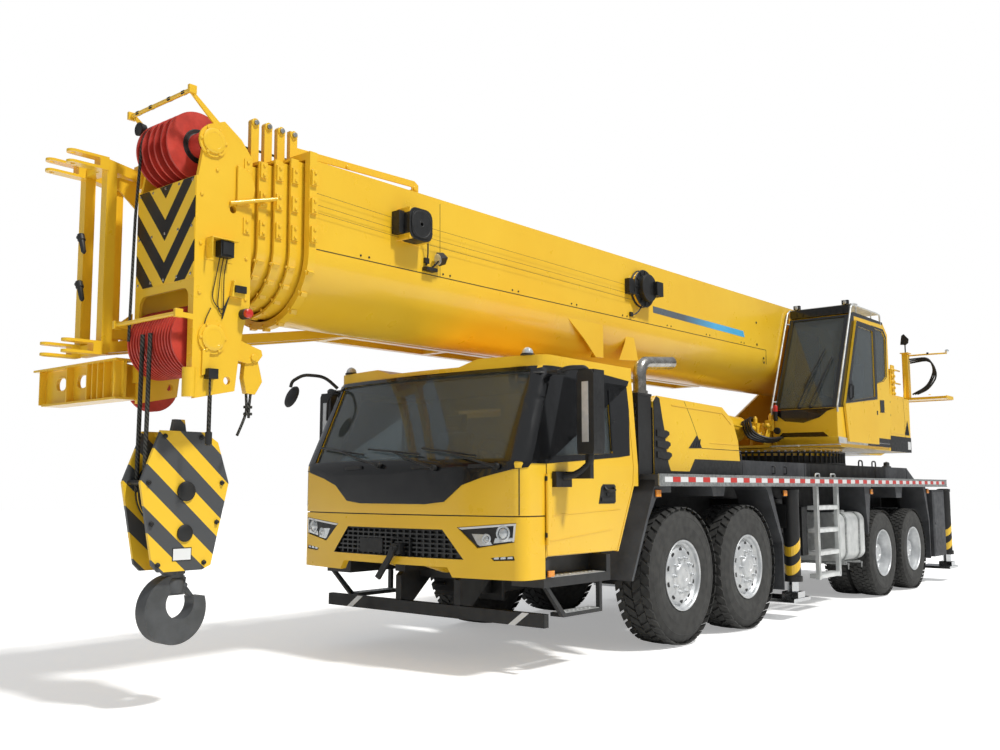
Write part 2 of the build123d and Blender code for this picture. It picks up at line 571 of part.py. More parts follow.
with BuildPart() as winches:
    for station, z in ((10250, 2450), (10800, 2560)):
        bar_x((station, z), 190, (-400, 400))
        for x in (-400, 370):
            bar_x((station, z), 250, (x, x + 30))
        bar_x((station, z), 60, (-PLATE_IN, PLATE_IN))
save(winches.part, "winches")

# ---------------------------------------------------------------- crane operator's cab
OP_SIDE = [
    (6280, 2200),
    (6380, OP_LOW),
    (8340, OP_LOW),
    (8400, 2600),
    (8400, 3800),
    (8200, OP_TOP),
    (7020, OP_TOP),
    (6900, 3920),
    (6280, 2580),
]
OP_FRONT, OP_SILL, OP_HEAD = 6280, 2600, 3890
OP_DOOR = [(6640, 2200), (7720, 2200), (7720, 3810), (7060, 3810), (6540, 2660)]


def operator_cab_volume(inset):
    """Crane cab as one solid with its faces moved in by an inset."""
    with BuildPart() as volume:
        with BuildSketch(Plane.YZ.offset(OP_IN + inset)) as side_face:
            Polygon(*[(at(s), z) for s, z in OP_SIDE], align=None)
            if inset:
                offset(amount=-inset, kind=Kind.INTERSECTION, mode=Mode.REPLACE)
        extrude(side_face.sketch, amount=OP_OUT - OP_IN - 2 * inset)
    return volume.part


op_outer = operator_cab_volume(0)
op_inner = operator_cab_volume(OP_WALL)
with BuildPart() as crane_cab:
    add(op_outer)
    add(op_inner, mode=Mode.SUBTRACT)
    block((OP_IN + 60, OP_OUT - 60), (OP_FRONT - 80, 6990), (OP_SILL, OP_HEAD), mode=Mode.SUBTRACT)
    slab(OP_DOOR, (OP_OUT - 100, OP_OUT + 100), mode=Mode.SUBTRACT)
    rear_window = [(7800, 3010), (8160, 3090), (8290, 3160), (8310, 3740), (8200, 3830), (7800, 3830)]
    slab(rear_window, (OP_OUT - 100, OP_OUT + 100), mode=Mode.SUBTRACT)
    slab([(6800, 2750), (7900, 2750), (7900, 3800), (7080, 3800)], (OP_IN - 100, OP_IN + 100),
        mode=Mode.SUBTRACT)
save(crane_cab.part, "crane_cab")

with BuildPart() as crane_seat:
    block((800, 1200), (7300, 7850), (OP_LOW + OP_WALL, 2700))
    slab([(7750, 2700), (7900, 3400), (8010, 3400), (7850, 2700)], (820, 1180))
save(crane_seat.part, "crane_seat")

with BuildPart() as crane_cab_glass:
    add(operator_cab_volume(10))
    add(operator_cab_volume(16), mode=Mode.SUBTRACT)
    pane = (OP_IN + 60 + RUN_GAP, OP_OUT - 60 - RUN_GAP)
    block(pane, (OP_FRONT - 80, 6990), (OP_SILL + RUN_GAP, OP_HEAD - RUN_GAP), mode=Mode.INTERSECT)
save(crane_cab_glass.part, "crane_cab_glass")

with BuildPart() as crane_cab_door:
    slab([(6600, 2140), (7750, 2140), (7750, 3840), (7030, 3840), (6500, 2640)], (OP_OUT + 8, OP_OUT + 38))
    light = [(6760, 2700), (7660, 2820), (7660, 3760), (7080, 3760), (6640, 2760)]
    slab(light, (OP_OUT, OP_OUT + 50), mode=Mode.SUBTRACT)
    block((OP_OUT + RUN_GAP, OP_OUT + 8), (7000, 7700), (2145, 2180))
save(crane_cab_door.part, "crane_cab_door")


# ---------------------------------------------------------------- boom
def lowered(piece):
    """A boom piece, drawn level, turned down about the boom's pivot to the slope it rests at."""
    pivot = Axis((0, at(PIVOT_STATION), PIVOT_Z), (1, 0, 0))
    return piece.rotate(pivot, BOOM_SLOPE)


def lowered_point(station, z):
    """Station and height of a point of the level boom once it is turned down."""
    turn, along, up = radians(BOOM_SLOPE), station - PIVOT_STATION, z - PIVOT_Z
    return (
        PIVOT_STATION + along * cos(turn) - up * sin(turn),
        PIVOT_Z + along * sin(turn) + up * cos(turn),
    )


def level_point(station, z):
    """Where to draw, on the level boom, a point that ends up at this station and height."""
    turn, along, up = radians(BOOM_SLOPE), station - PIVOT_STATION, z - PIVOT_Z
    return (
        PIVOT_STATION + along * cos(turn) + up * sin(turn),
        PIVOT_Z - along * sin(turn) + up * cos(turn),
    )


def boom_face(shrink, station):
    """U-shaped boom section, all sides moved in by shrink, on a plane across the vehicle."""
    half = BOOM_HALF - shrink
    low, high = BOOM_LOW + shrink, BOOM_TOP - shrink
    knee = BOOM_LOW + BOOM_HALF
    with BuildSketch(Plane.XZ.offset(-at(station))) as face:
        with BuildLine():
            Polyline((-half, knee), (-half, high), (half, high), (half, knee))
            ThreePointArc((half, knee), (0, low), (-half, knee))
        make_face()
    return face.sketch


def boom_collar(shrink, grow, stations):
    """Collar round the front end of a section, with its two upright fingers."""
    extrude(boom_face(shrink - grow, stations[0]), amount=-(stations[1] - stations[0]))
    for x in (-300, 260):
        block((x, x + 40), stations, (BOOM_TOP - 40, BOOM_TOP + 260))


with BuildPart() as boom_base:
    boom_collar(0, 45, (BASE_FRONT, BASE_FRONT + 70))
    extrude(boom_face(0, BASE_FRONT), amount=-(BASE_REAR - BASE_FRONT))
    extrude(boom_face(BOOM_WALL, BASE_FRONT), amount=-(BASE_REAR - BASE_FRONT - 40), mode=Mode.SUBTRACT)
    for x in (-300, 260):
        block((x, x + 40), (BASE_FRONT, BASE_FRONT + 70), (BOOM_TOP, BOOM_TOP + 260))
    bar_x((PIVOT_STATION, PIVOT_Z), PIVOT_R + 90, (-PLATE_IN + 4, PLATE_IN - 4))
    bar_x((PIVOT_STATION, PIVOT_Z), PIVOT_R + PIN_GAP, (-PLATE_IN, PLATE_IN), mode=Mode.SUBTRACT)
    for side in (-1, 1):
        lug = [(1350, 3150), (1900, 2560), (2000, 2510), (2100, 2560), (2600, 3150)]
        slab(lug, sorted((side * LUFF_LUG, side * (LUFF_LUG + 40))))
    bar_x(LUFF_EYE, LUFF_PIN_R + PIN_GAP, (-200, 200), mode=Mode.SUBTRACT)
    extrude(boom_face(BOOM_WALL, BASE_FRONT), amount=-(BASE_REAR - 400 - BASE_FRONT), mode=Mode.SUBTRACT)
    # cable drums of the length gauge on the left wall
    bar_x((2910, 3822), 200, (BOOM_HALF, BOOM_HALF + 60))
    bar_x((2910, 3822), 150, (BOOM_HALF + 60, BOOM_HALF + 130))
    block((BOOM_HALF, BOOM_HALF + 150), (-900, -640), (3680, 3940))
    # stiffener round the rear end, over the pivot
    for side in (-1, 1):
        rib = sorted((side * (BOOM_HALF - 2), side * (BOOM_HALF + 8)))
        slab([(9050, 2980 + BOOM_HALF), (9330, 4100), (9400, 4100), (9120, 2980 + BOOM_HALF)], rib)
save(lowered(boom_base.part), "boom_base")

SECTIONS = 4
SECTION_REAR = 9150
for n in range(1, SECTIONS + 1):
    shrink = SECTION_STEP * n
    front = BASE_FRONT - COLLAR_PITCH * n
    with BuildPart() as section:
        extrude(boom_face(shrink, front), amount=-(SECTION_REAR - 120 * n - front))
        rear = SECTION_REAR - 120 * n
        # sliding pads round the rear end, running in the section outside
        extrude(boom_face(shrink - (SECTION_STEP - BOOM_WALL) + 0.5, rear - 250), amount=-250)
        extrude(boom_face(shrink - 8, front), amount=-70)
        if n < SECTIONS:
            for x in (-300, 260):
                block((x, x + 40), (front, front + 70), (BOOM_TOP - shrink - 20, BOOM_TOP + 240))
        extrude(boom_face(shrink + BOOM_WALL, front), amount=-(rear - front), mode=Mode.SUBTRACT)
        if n == SECTIONS:
            # boom head: two cheeks round the sheaves, a front plate and the auxiliary beam
            cheek = [(-2700, 2262), (-2700, 3080), (-2715, 3800), (-2643, 4214), (-2506, 4271),
                (-2358, 4171),
                     (-2261, 4053), (-2260, 2960), (-2310, 2791), (-2340, 2620), (-2375, 2330)]
            for side in (-1, 1):
                slab(cheek, sorted((side * (HEAD_HALF - HEAD_PLATE), side * HEAD_HALF)))
            extrude(boom_face(shrink, front), amount=-40)
            with BuildSketch(Plane.XZ.offset(-at(-2700))) as front_plate:
                with Locations((0, 3120)):
                    Rectangle(2 * HEAD_HALF, 1412)
                with Locations((0, 2620)):
                    RectangleRounded(2 * HEAD_HALF - 130, 840, 70, mode=Mode.SUBTRACT)
            extrude(front_plate.sketch, amount=24)
            for axle in (LOWER_AXLE, UPPER_AXLE):
                bar_x(axle, AXLE_R, (-HEAD_HALF - 30, HEAD_HALF + 30))
                for side in (-1, 1):
                    bar_x(axle, AXLE_R + 55, sorted((side * (HEAD_HALF - 1), side * (HEAD_HALF + 14))))
            for bore in JIB_BORES:
                bar_x(bore, JIB_BORE_R, (-HEAD_HALF, HEAD_HALF), mode=Mode.SUBTRACT)
            # rope guards over the upper sheaves and ahead of the lower ones
            for guard, root in (((-2790, 4420), (-2560, 4200)), ((-2850, 2830), (-2690, 2800))):
                bar_x(guard, 16, (-HEAD_HALF - 20, HEAD_HALF + 20))
                for side in (-1, 1):
                    arm = [(guard[0], guard[1] - 16), (guard[0], guard[1] + 16),
                        (root[0] + 30, root[1] + 40), root]
                    slab(arm, sorted((side * (HEAD_HALF - 14), side * HEAD_HALF)))
            # auxiliary beam to the right: a web with two oval holes between its flanges
            beam_in = -HEAD_HALF + 10
            with BuildSketch(Plane.XZ.offset(-at(-2776))) as web:
                Polygon((beam_in, 2300), (beam_in, 2590), (-1640, 2590), (-1600, 2330), (-1500, 2300),
                    align=None)
                with Locations((-1290, 2460), (-960, 2460)):
                    SlotOverall(170, 100, mode=Mode.SUBTRACT)
            extrude(web.sketch, amount=24)
            block((-1655, beam_in), (-2860, -2690), (2575, 2591))
            block((-1500, beam_in), (-2860, -2690), (2292, 2308))
            for x in (-820, -740, -660):
                block((x, x + 14), (-2850, -2790), (2300, 2580))
            # socket of the anti-two-block weight at the front corner
            post((HEAD_HALF - 15, -2735), 45, (2270, 2470))
    save(lowered(section.part), f"boom_section_{n}")

def sheave(axle, x, width, flange=16):
    """Grooved rope sheave: two flanges, and a narrower drum between them."""
    bar_x(axle, SHEAVE_R - 34, (x, x + width))
    for start in (x, x + width - flange):
        bar_x(axle, SHEAVE_R, (start, start + flange))


LOWER_SHEAVES, LOWER_PITCH, UPPER_SHEAVES, UPPER_PITCH = 8, 74, 3, 160
with BuildPart() as head_sheaves:
    for n in range(LOWER_SHEAVES):
        sheave(LOWER_AXLE, -295 + LOWER_PITCH * n, 54)
    for n in range(UPPER_SHEAVES):
        sheave(UPPER_AXLE, -205 + UPPER_PITCH * n, 90)
    for axle in (LOWER_AXLE, UPPER_AXLE):
        bar_x(axle, AXLE_R + 30, (-335, 335))
        bar_x(axle, AXLE_R + 0.1, (-335, 335), mode=Mode.SUBTRACT)
save(lowered(head_sheaves.part), "head_sheaves")

# Lattice jib folded along the boom's right side: its wide foot is ahead of the boom head.
with BuildPart() as jib:
    tube = 80
    foot, neck, tip = -2900, -500, 6300
    foot_x, foot_z = (-560, -880), (2671, 4056)
    body_x, body_z = (-640, -1000), (3060, 3700)
    for fx, bx in zip(foot_x, body_x):
        for fz, bz in zip(foot_z, body_z):
            with BuildSketch(Plane.XZ.offset(-at(foot))) as start_face:
                with Locations((fx, fz)):
                    Rectangle(tube, tube)
            with BuildSketch(Plane.XZ.offset(-at(neck))) as end_face:
                with Locations((bx, bz)):
                    Rectangle(tube, tube)
            loft([start_face.sketch, end_face.sketch], ruled=True)
            block((bx - tube / 2, bx + tube / 2), (neck, tip), (bz - tube / 2, bz + tube / 2))
            # fork lug with an upright pin bore, reaching forward from the foot
            reach = level_point(-HEAD_OVERHANG, 3972)[0] + 45 if fz == foot_z[1] else -3130
            block((fx - 45, fx + 45), (foot - 60, foot + 10), (fz - 50, fz + 50))
            for plate in (fz - 50, fz + 30):
                block((fx - 45, fx + 45), (reach, foot - 50), (plate, plate + 20))
                post((fx, reach), 45, (plate, plate + 20))
            post((fx, reach), 18, (fz - 60, fz + 60), mode=Mode.SUBTRACT)
    for station in (neck, 900, 2700, 4500, tip - tube):
        for z in body_z:
            block((body_x[1], body_x[0]), (station, station + tube), (z - tube / 2, z + tube / 2))
        for x in body_x:
            block((x - tube / 2, x + tube / 2), (station, station + tube), body_z)
    # diagonals between the upright frames
    for start, end in ((neck, 900), (900, 2700), (2700, 4500), (4500, tip - tube)):
        for x in body_x:
            brace = [(start + tube, body_z[0]), (start + tube + 70, body_z[0]), (end, body_z[1]),
                (end - 70, body_z[1])]
            slab(brace, (x - 25, x + 25))
    for z in foot_z:
        block((foot_x[1], foot_x[0]), (foot, foot + tube), (z - tube / 2, z + tube / 2))
    for x in foot_x:
        block((x - tube / 2, x + tube / 2), (foot, foot + tube), foot_z)
        outer = x == foot_x[1]
        upright = [(-2640, 2700), (-2570, 2700), (-2570, 4010), (-2640, 4010)]
        brace = [(-2560, 2740), (-2480, 2760), (-1730, 3850), (-1810, 3850)]
        if outer:
            slab(upright, (x - 58, x + 2))
            slab(brace, (x - 78, x - 28))
    for station in (900, 4500):
        block((body_x[0], -BOOM_HALF), (station, station + tube), (3400, 3480))
        block((body_x[0] - 40, body_x[0] + 40), (station, station + tube), body_z)
save(lowered(jib.part), "jib")

# ---------------------------------------------------------------- luffing cylinder
eye_station, eye_z = lowered_point(*LUFF_EYE)
foot_point = Vector(0, at(LUFF_FOOT[0]), LUFF_FOOT[1])
reach = Vector(0, at(eye_station), eye_z) - foot_point
cylinder_line = Plane(foot_point, x_dir=(1, 0, 0), z_dir=reach)
BARREL_START, BARREL_END = 230, reach.length - 260
with BuildPart() as luff_barrel:
    bar_x(LUFF_FOOT, EYE_R, (-130, 130))
    with BuildSketch(cylinder_line.offset(60)) as neck_face:
        Rectangle(200, 200)
    extrude(neck_face.sketch, amount=BARREL_START - 60)
    with BuildSketch(cylinder_line.offset(BARREL_START)) as barrel_face:
        Circle(BARREL_R)
    extrude(barrel_face.sketch, amount=BARREL_END - BARREL_START)
    with BuildSketch(cylinder_line.offset(BARREL_START + 40)) as bore_face:
        Circle(LUFF_ROD_R + PIN_GAP)
    extrude(bore_face.sketch, amount=BARREL_END - BARREL_START, mode=Mode.SUBTRACT)
    bar_x(LUFF_FOOT, LUFF_PIN_R + PIN_GAP, (-200, 200), mode=Mode.SUBTRACT)
save(luff_barrel.part, "luff_barrel")

with BuildPart() as luff_rod:
    with BuildSketch(cylinder_line.offset(BARREL_START + 90)) as rod_face:
        Circle(LUFF_ROD_R)
    extrude(rod_face.sketch, amount=reach.length - BARREL_START - 90 - 80)
    bar_x((eye_station, eye_z), EYE_R, (-130, 130))
    bar_x((eye_station, eye_z), LUFF_PIN_R, (RUN_GAP - LUFF_LUG, LUFF_LUG - RUN_GAP))
save(luff_rod.part, "luff_rod")

# ---------------------------------------------------------------- hook block
HOOK_STATION, FALLS_TOP = lowered_point(*LOWER_AXLE)
BLOCK_AXLE_Z, BLOCK_SHEAVE_R, ROPE = 1500, 255, 22
CHEEK_IN, CHEEK_T = 104, 24
FALLS = ((-80, -1), (18, -1), (-30, 1))  # x of a rope fall, and the side of the sheaves it leaves
with BuildPart() as hook_block:
    cheek = [(-350, 1560), (-210, 1920), (140, 1920), (250, 1850), (350, 1560), (220, 980), (150, 950),
        (-190, 950), (-240, 1000)]
    for side in (-1, 1):
        x = sorted((side * CHEEK_IN, side * (CHEEK_IN + CHEEK_T)))
        slab([(HOOK_STATION + s, z) for s, z in cheek], x)
    for s, z, r in ((0, BLOCK_AXLE_Z, 45), (0, 1210, 40)):
        bar_x((HOOK_STATION + s, z), r, (-CHEEK_IN, CHEEK_IN))
    block((-CHEEK_IN, CHEEK_IN), (HOOK_STATION - 90, HOOK_STATION + 90), (980, 1120))
    post((0, HOOK_STATION), 40 + PIN_GAP, (900, 1110), mode=Mode.SUBTRACT)
    # sheaves of the block, and the rope falls up to the sheaves of the boom head
    for n in range(3):
        x = -91 + 66 * n
        bar_x((HOOK_STATION, BLOCK_AXLE_Z), BLOCK_SHEAVE_R, (x, x + 50))
    for x, side in FALLS:
        fall = sorted((side * (SHEAVE_R + RUN_GAP), side * (SHEAVE_R + RUN_GAP + ROPE)))
        block((x, x + ROPE), [HOOK_STATION + s for s in fall], (BLOCK_AXLE_Z, FALLS_TOP))
    # becket eye on top
    slab([(HOOK_STATION - 60, 1900), (HOOK_STATION + 60, 1900), (HOOK_STATION + 40, 2010),
        (HOOK_STATION - 40, 2010)], (-20, 20))
    block((-CHEEK_IN, CHEEK_IN), (HOOK_STATION - 120, HOOK_STATION + 120), (1880, 1915))
save(hook_block.part, "hook_block")

with BuildPart() as hook:
    post((0, HOOK_STATION), 40, (820, 1100))
    post((0, HOOK_STATION), 75, (900, 980 - RUN_GAP))
    slab([(HOOK_STATION - 75, 900), (HOOK_STATION + 75, 900), (HOOK_STATION + 60, 780),
        (HOOK_STATION - 90, 780)], (-55, 55))
    with BuildSketch(Plane.YZ.offset(-60)) as bowl:
        with Locations((at(HOOK_STATION), 680)):
            Circle(240)
        with Locations((at(HOOK_STATION + 30), 720)):
            Circle(110, mode=Mode.SUBTRACT)
        with Locations((at(HOOK_STATION + 190), 870)):
            Rectangle(260, 220, mode=Mode.SUBTRACT)
    extrude(bowl.sketch, amount=120)
save(hook.part, "hook")
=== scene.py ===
from math import cos, pi, radians, sin, sqrt, tau

import bmesh
import bpy
from mathutils import Matrix, Vector


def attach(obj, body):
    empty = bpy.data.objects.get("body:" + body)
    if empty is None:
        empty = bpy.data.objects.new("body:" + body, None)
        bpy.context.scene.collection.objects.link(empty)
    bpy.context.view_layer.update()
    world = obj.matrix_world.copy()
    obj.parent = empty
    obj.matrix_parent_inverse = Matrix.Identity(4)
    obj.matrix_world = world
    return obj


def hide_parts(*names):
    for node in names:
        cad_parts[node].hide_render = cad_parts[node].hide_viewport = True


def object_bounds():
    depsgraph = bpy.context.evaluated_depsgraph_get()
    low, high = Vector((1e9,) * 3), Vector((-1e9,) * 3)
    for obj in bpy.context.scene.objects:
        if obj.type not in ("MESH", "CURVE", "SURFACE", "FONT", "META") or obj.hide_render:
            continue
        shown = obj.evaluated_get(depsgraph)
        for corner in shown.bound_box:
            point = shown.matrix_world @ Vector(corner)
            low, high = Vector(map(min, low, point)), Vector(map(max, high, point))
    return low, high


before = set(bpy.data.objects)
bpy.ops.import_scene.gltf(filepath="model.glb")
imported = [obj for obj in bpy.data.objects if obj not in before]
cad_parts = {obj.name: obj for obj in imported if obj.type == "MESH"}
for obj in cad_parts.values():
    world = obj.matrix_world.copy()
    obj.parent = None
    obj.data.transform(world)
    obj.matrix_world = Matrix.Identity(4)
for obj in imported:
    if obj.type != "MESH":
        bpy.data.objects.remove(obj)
cad_low, cad_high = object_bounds()

# ---------------------------------------------------------------- floor, lights and camera
# A pale studio floor and an even sky, with one large soft key light high on the crane's left.
# The camera stands ahead of the left front corner at eye height, level, and looks a little up.


def linear(code):
    """Scene colour of an sRGB hex code."""
    parts = [int(code[i : i + 2], 16) / 255 for i in (1, 3, 5)]
    return tuple(c / 12.92 if c <= 0.04045 else ((c + 0.055) / 1.055) ** 2.4 for c in parts) + (1.0,)


def add_node(tree, kind, inputs=None, **settings):
    """Node with its settings, and its inputs each set to a value or linked from a socket."""
    node = tree.nodes.new(kind)
    for key, value in settings.items():
        setattr(node, key, value)
    for key, value in (inputs or {}).items():
        if isinstance(value, bpy.types.NodeSocket):
            tree.links.new(value, node.inputs[key])
        else:
            node.inputs[key].default_value = value
    return node


scene = bpy.context.scene
scene.view_settings.view_transform = "Standard"

world = bpy.data.worlds.new("studio")
scene.world = world
world.use_nodes = True
sky = world.node_tree
sky.nodes.clear()
rays = add_node(sky, "ShaderNodeLightPath")
seen = add_node(sky, "ShaderNodeMath", {0: rays.outputs["Is Camera Ray"],
                                        1: rays.outputs["Is Transmission Ray"]}, operation="MAXIMUM")
height = add_node(sky, "ShaderNodeSeparateXYZ", {0: add_node(sky, "ShaderNodeTexCoord").outputs["Generated"]})
dome = add_node(sky, "ShaderNodeMapRange", {"Value": height.outputs["Z"], "From Min": -0.1, "From Max": 0.7,
                                            "To Min": 0.2, "To Max": 0.46})
soft = add_node(sky, "ShaderNodeBackground", {"Color": linear("#f4f7fb"), "Strength": dome.outputs[0]})
plain = add_node(sky, "ShaderNodeBackground", {"Color": (1, 1, 1, 1), "Strength": 1.0})
both = add_node(sky, "ShaderNodeMixShader", {0: seen.outputs[0], 1: soft.outputs[0], 2: plain.outputs[0]})
add_node(sky, "ShaderNodeOutputWorld", {"Surface": both.outputs[0]})

FLOOR_REACH = 60.0
floor_mesh = bpy.data.meshes.new("floor")
floor_mesh.from_pydata([(x * FLOOR_REACH, y * FLOOR_REACH, 0) for x, y in ((-1, -1), (1, -1), (1, 1), (-1, 1))],
                       [], [(0, 1, 2, 3)])
floor = bpy.data.objects.new("floor", floor_mesh)
scene.collection.objects.link(floor)
paving = bpy.data.materials.new("pale_floor")
paving.use_nodes = True
ground = paving.node_tree
ground.nodes.clear()
matte = add_node(ground, "ShaderNodeBsdfDiffuse", {"Color": linear("#f2f2f1")})
glow = add_node(ground, "ShaderNodeEmission", {"Color": (1, 1, 1, 1), "Strength": 0.34})
sees = add_node(ground, "ShaderNodeLightPath")
lift = add_node(ground, "ShaderNodeMixShader", {0: sees.outputs["Is Camera Ray"], 2: glow.outputs[0]})
add_node(ground, "ShaderNodeOutputMaterial", {"Surface": add_node(ground, "ShaderNodeAddShader",
                                                                  {0: matte.outputs[0],
                                                                   1: lift.outputs[0]}).outputs[0]})
floor_mesh.materials.append(paving)

KEY_FROM = Vector((0.62, 0.08, 0.88))
key_light = bpy.data.lights.new("key", "SUN")
key_light.energy = 2.85
key_light.angle = radians(6)
key_light.color = (1.0, 0.985, 0.96)
key = bpy.data.objects.new("key", key_light)
key.rotation_euler = KEY_FROM.to_track_quat("Z", "Y").to_euler()
scene.collection.objects.link(key)

# Lengths are stations, as on the drawings: millimetres behind the front underrun bar.
HEAD_OVERHANG = 3200
bar_face = cad_low.y + HEAD_OVERHANG / 1000


def place(x, station, z):
    """Point in metres from millimetres across, along and up."""
    return Vector((x / 1000, bar_face + station / 1000, z / 1000))


def drawn(point):
    """Millimetres across, along and up of a point in metres."""
    return Vector((point.x * 1000, (point.y - bar_face) * 1000, point.z * 1000))


EYE, LOOK = (6254, -6479, 1523), Vector((-0.6354, 0.7637, 0.1145))
lens = bpy.data.cameras.new("camera")
lens.lens, lens.sensor_width = 35.29, 36.0
lens.clip_end = 200
camera = bpy.data.objects.new("camera", lens)
camera.location = place(*EYE)
camera.rotation_euler = LOOK.to_track_quat("-Z", "Y").to_euler()
scene.collection.objects.link(camera)
scene.camera = camera

# ---------------------------------------------------------------- chassis frame
# Welded high-strength plate frame with its outrigger boxes, sprayed satin black over primer.
# Road film dulls it: broken roughness and a tone that drifts between two blacks in patches.


def material(name, settings=None):
    """New node material, with plain settings of its principled shader: itself, its tree and that shader."""
    made = bpy.data.materials.new(name)
    made.use_nodes = True
    tree = made.node_tree
    tree.nodes.clear()
    shader = add_node(tree, "ShaderNodeBsdfPrincipled", settings)
    add_node(tree, "ShaderNodeOutputMaterial", {"Surface": shader.outputs[0]})
    return made, tree, shader


def two_toned(tree, shader, share, first, second):
    """Base colour that goes from one tone to another by a share: each a hex code or a socket."""
    ends = [linear(tone) if isinstance(tone, str) else tone for tone in (first, second)]
    mixed = add_node(tree, "ShaderNodeMix", {0: share, 6: ends[0], 7: ends[1]}, data_type="RGBA")
    tree.links.new(mixed.outputs[2], shader.inputs["Base Color"])
    return mixed.outputs[2]


def mottled(tree, shader, light, dark, size_mm):
    """Base colour that drifts between two close tones."""
    spot = add_node(tree, "ShaderNodeTexCoord")
    patches = add_node(tree, "ShaderNodeTexNoise", {"Vector": spot.outputs["Object"], "Scale": 1000 / size_mm,
                                                    "Detail": 3.0, "Roughness": 0.55})
    blend = add_node(tree, "ShaderNodeMapRange", {"Value": patches.outputs["Fac"], "From Min": 0.35,
                                                  "From Max": 0.65})
    return two_toned(tree, shader, blend.outputs[0], dark, light)


def broken_gloss(tree, shader, low, high, size_mm):
    """Roughness that wanders between two values, as handled and weathered surfaces do."""
    spot = add_node(tree, "ShaderNodeTexCoord")
    wear = add_node(tree, "ShaderNodeTexNoise", {"Vector": spot.outputs["Object"], "Scale": 1000 / size_mm,
                                                 "Detail": 5.0, "Roughness": 0.55})
    gloss = add_node(tree, "ShaderNodeMapRange", {"Value": wear.outputs["Fac"], "From Min": 0.3,
                                                  "From Max": 0.7, "To Min": low, "To Max": high})
    tree.links.new(gloss.outputs[0], shader.inputs["Roughness"])


def grain(tree, shader, size_mm, height_mm):
    """Fine relief: peel of a sprayed coat, cast skin or moulded texture."""
    spot = add_node(tree, "ShaderNodeTexCoord")
    relief = add_node(tree, "ShaderNodeTexNoise", {"Vector": spot.outputs["Object"], "Scale": 1000 / size_mm,
                                                   "Detail": 2.0, "Roughness": 0.55})
    bump = add_node(tree, "ShaderNodeBump", {"Height": relief.outputs["Fac"], "Distance": height_mm / 1000,
                                             "Strength": 1.0})
    tree.links.new(bump.outputs[0], shader.inputs["Normal"])


def finish_of(name, tones, gloss, relief=None, settings=None):
    """Whole finish: plain or mottled colour, broken gloss and fine relief if any, and plain settings."""
    made, tree, shader = material(name, settings)
    if isinstance(tones, str):
        shader.inputs["Base Color"].default_value = linear(tones)
    else:
        mottled(tree, shader, *tones)
    if gloss:
        broken_gloss(tree, shader, *gloss)
    if relief:
        grain(tree, shader, *relief)
    return made


# Two-pack chassis enamel, sprayed: deep black, satin, with road dust in patches; it also paints shade in the
# wheels' hand holes.
CHASSIS_AND_PAINTED_SHADE = finish_of("chassis_black_and_painted_shade", ("#222323", "#161617", 420), (0.38, 0.62, 160), (9, 0.12))

# Edges that turn by more than this many degrees are sharp.
SHARP_FROM = 32


def ease_edges(thing, bevel_mm, bend):
    """Breaks the sharp edges of an object by so many millimetres."""
    if bevel_mm:
        edges = thing.modifiers.new("edges", "BEVEL")
        edges.width = bevel_mm / 1000
        edges.segments = 2
        edges.limit_method = "ANGLE"
        edges.angle_limit = radians(bend)


def repaint(node, finish, bevel_mm=0.0):
    """Gives a CAD node its finish, and breaks its sharp edges."""
    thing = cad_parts[node]
    thing.data.materials.clear()
    thing.data.materials.append(finish)
    ease_edges(thing, bevel_mm, SHARP_FROM)


for node in ("chassis_frame", "axle_beams", "powertrain"):
    repaint(node, CHASSIS_AND_PAINTED_SHADE)
for axle in (1, 2):
    for side in ("left", "right"):
        repaint(f"knuckle_{axle}_{side}", CHASSIS_AND_PAINTED_SHADE)


def block(bm, x, station, z, finish=0):
    """Box from its ranges across, along and up, in millimetres."""
    corners = [bm.verts.new(place(i, j, k)) for k in z for j in station for i in x]
    for loop in ((0, 2, 3, 1), (4, 5, 7, 6), (0, 1, 5, 4), (2, 6, 7, 3), (0, 4, 6, 2), (1, 3, 7, 5)):
        bm.faces.new([corners[i] for i in loop]).material_index = finish


def plate(bm, outline, span, axis="x", finish=0):
    """Plate cut to an outline, from end to end of a span across (x) or along (station)."""
    order = (lambda a, b, t: (t, a, b)) if axis == "x" else (lambda a, b, t: (a, t, b))
    ends = [[bm.verts.new(place(*order(a, b, t))) for a, b in outline] for t in span]
    bm.faces.new(ends[0]).material_index = finish
    bm.faces.new(ends[1][::-1]).material_index = finish
    for i in range(len(outline)):
        j = (i + 1) % len(outline)
        bm.faces.new((ends[0][i], ends[1][i], ends[1][j], ends[0][j])).material_index = finish


UP, DOWN, LEFT, AHEAD, BACK = (0, 0, 1), (0, 0, -1), (1, 0, 0), (0, -1, 0), (0, 1, 0)


def oblong(left, right, low, high):
    """Outline of an upright rectangle."""
    return [(left, low), (right, low), (right, high), (left, high)]


def on_side(side, near, far):
    """Range across the machine between two distances out on one side, lower end first."""
    return sorted((side * near, side * far))


def mirrored(side, points):
    """Points whose distance across is counted out from the middle on one side."""
    return [(side * x, station, z) for x, station, z in points]


def boss(radius, rim, top, crown):
    """Profile of a bolt head, boss or lid: straight up to its rim, then drawn in to its top."""
    return [(0, radius), (rim, radius), (top, crown), (top, 0)]


def spaced(count, radius):
    """Offsets evenly spaced round a circle."""
    return [(radius * cos(tau * n / count), radius * sin(tau * n / count)) for n in range(count)]


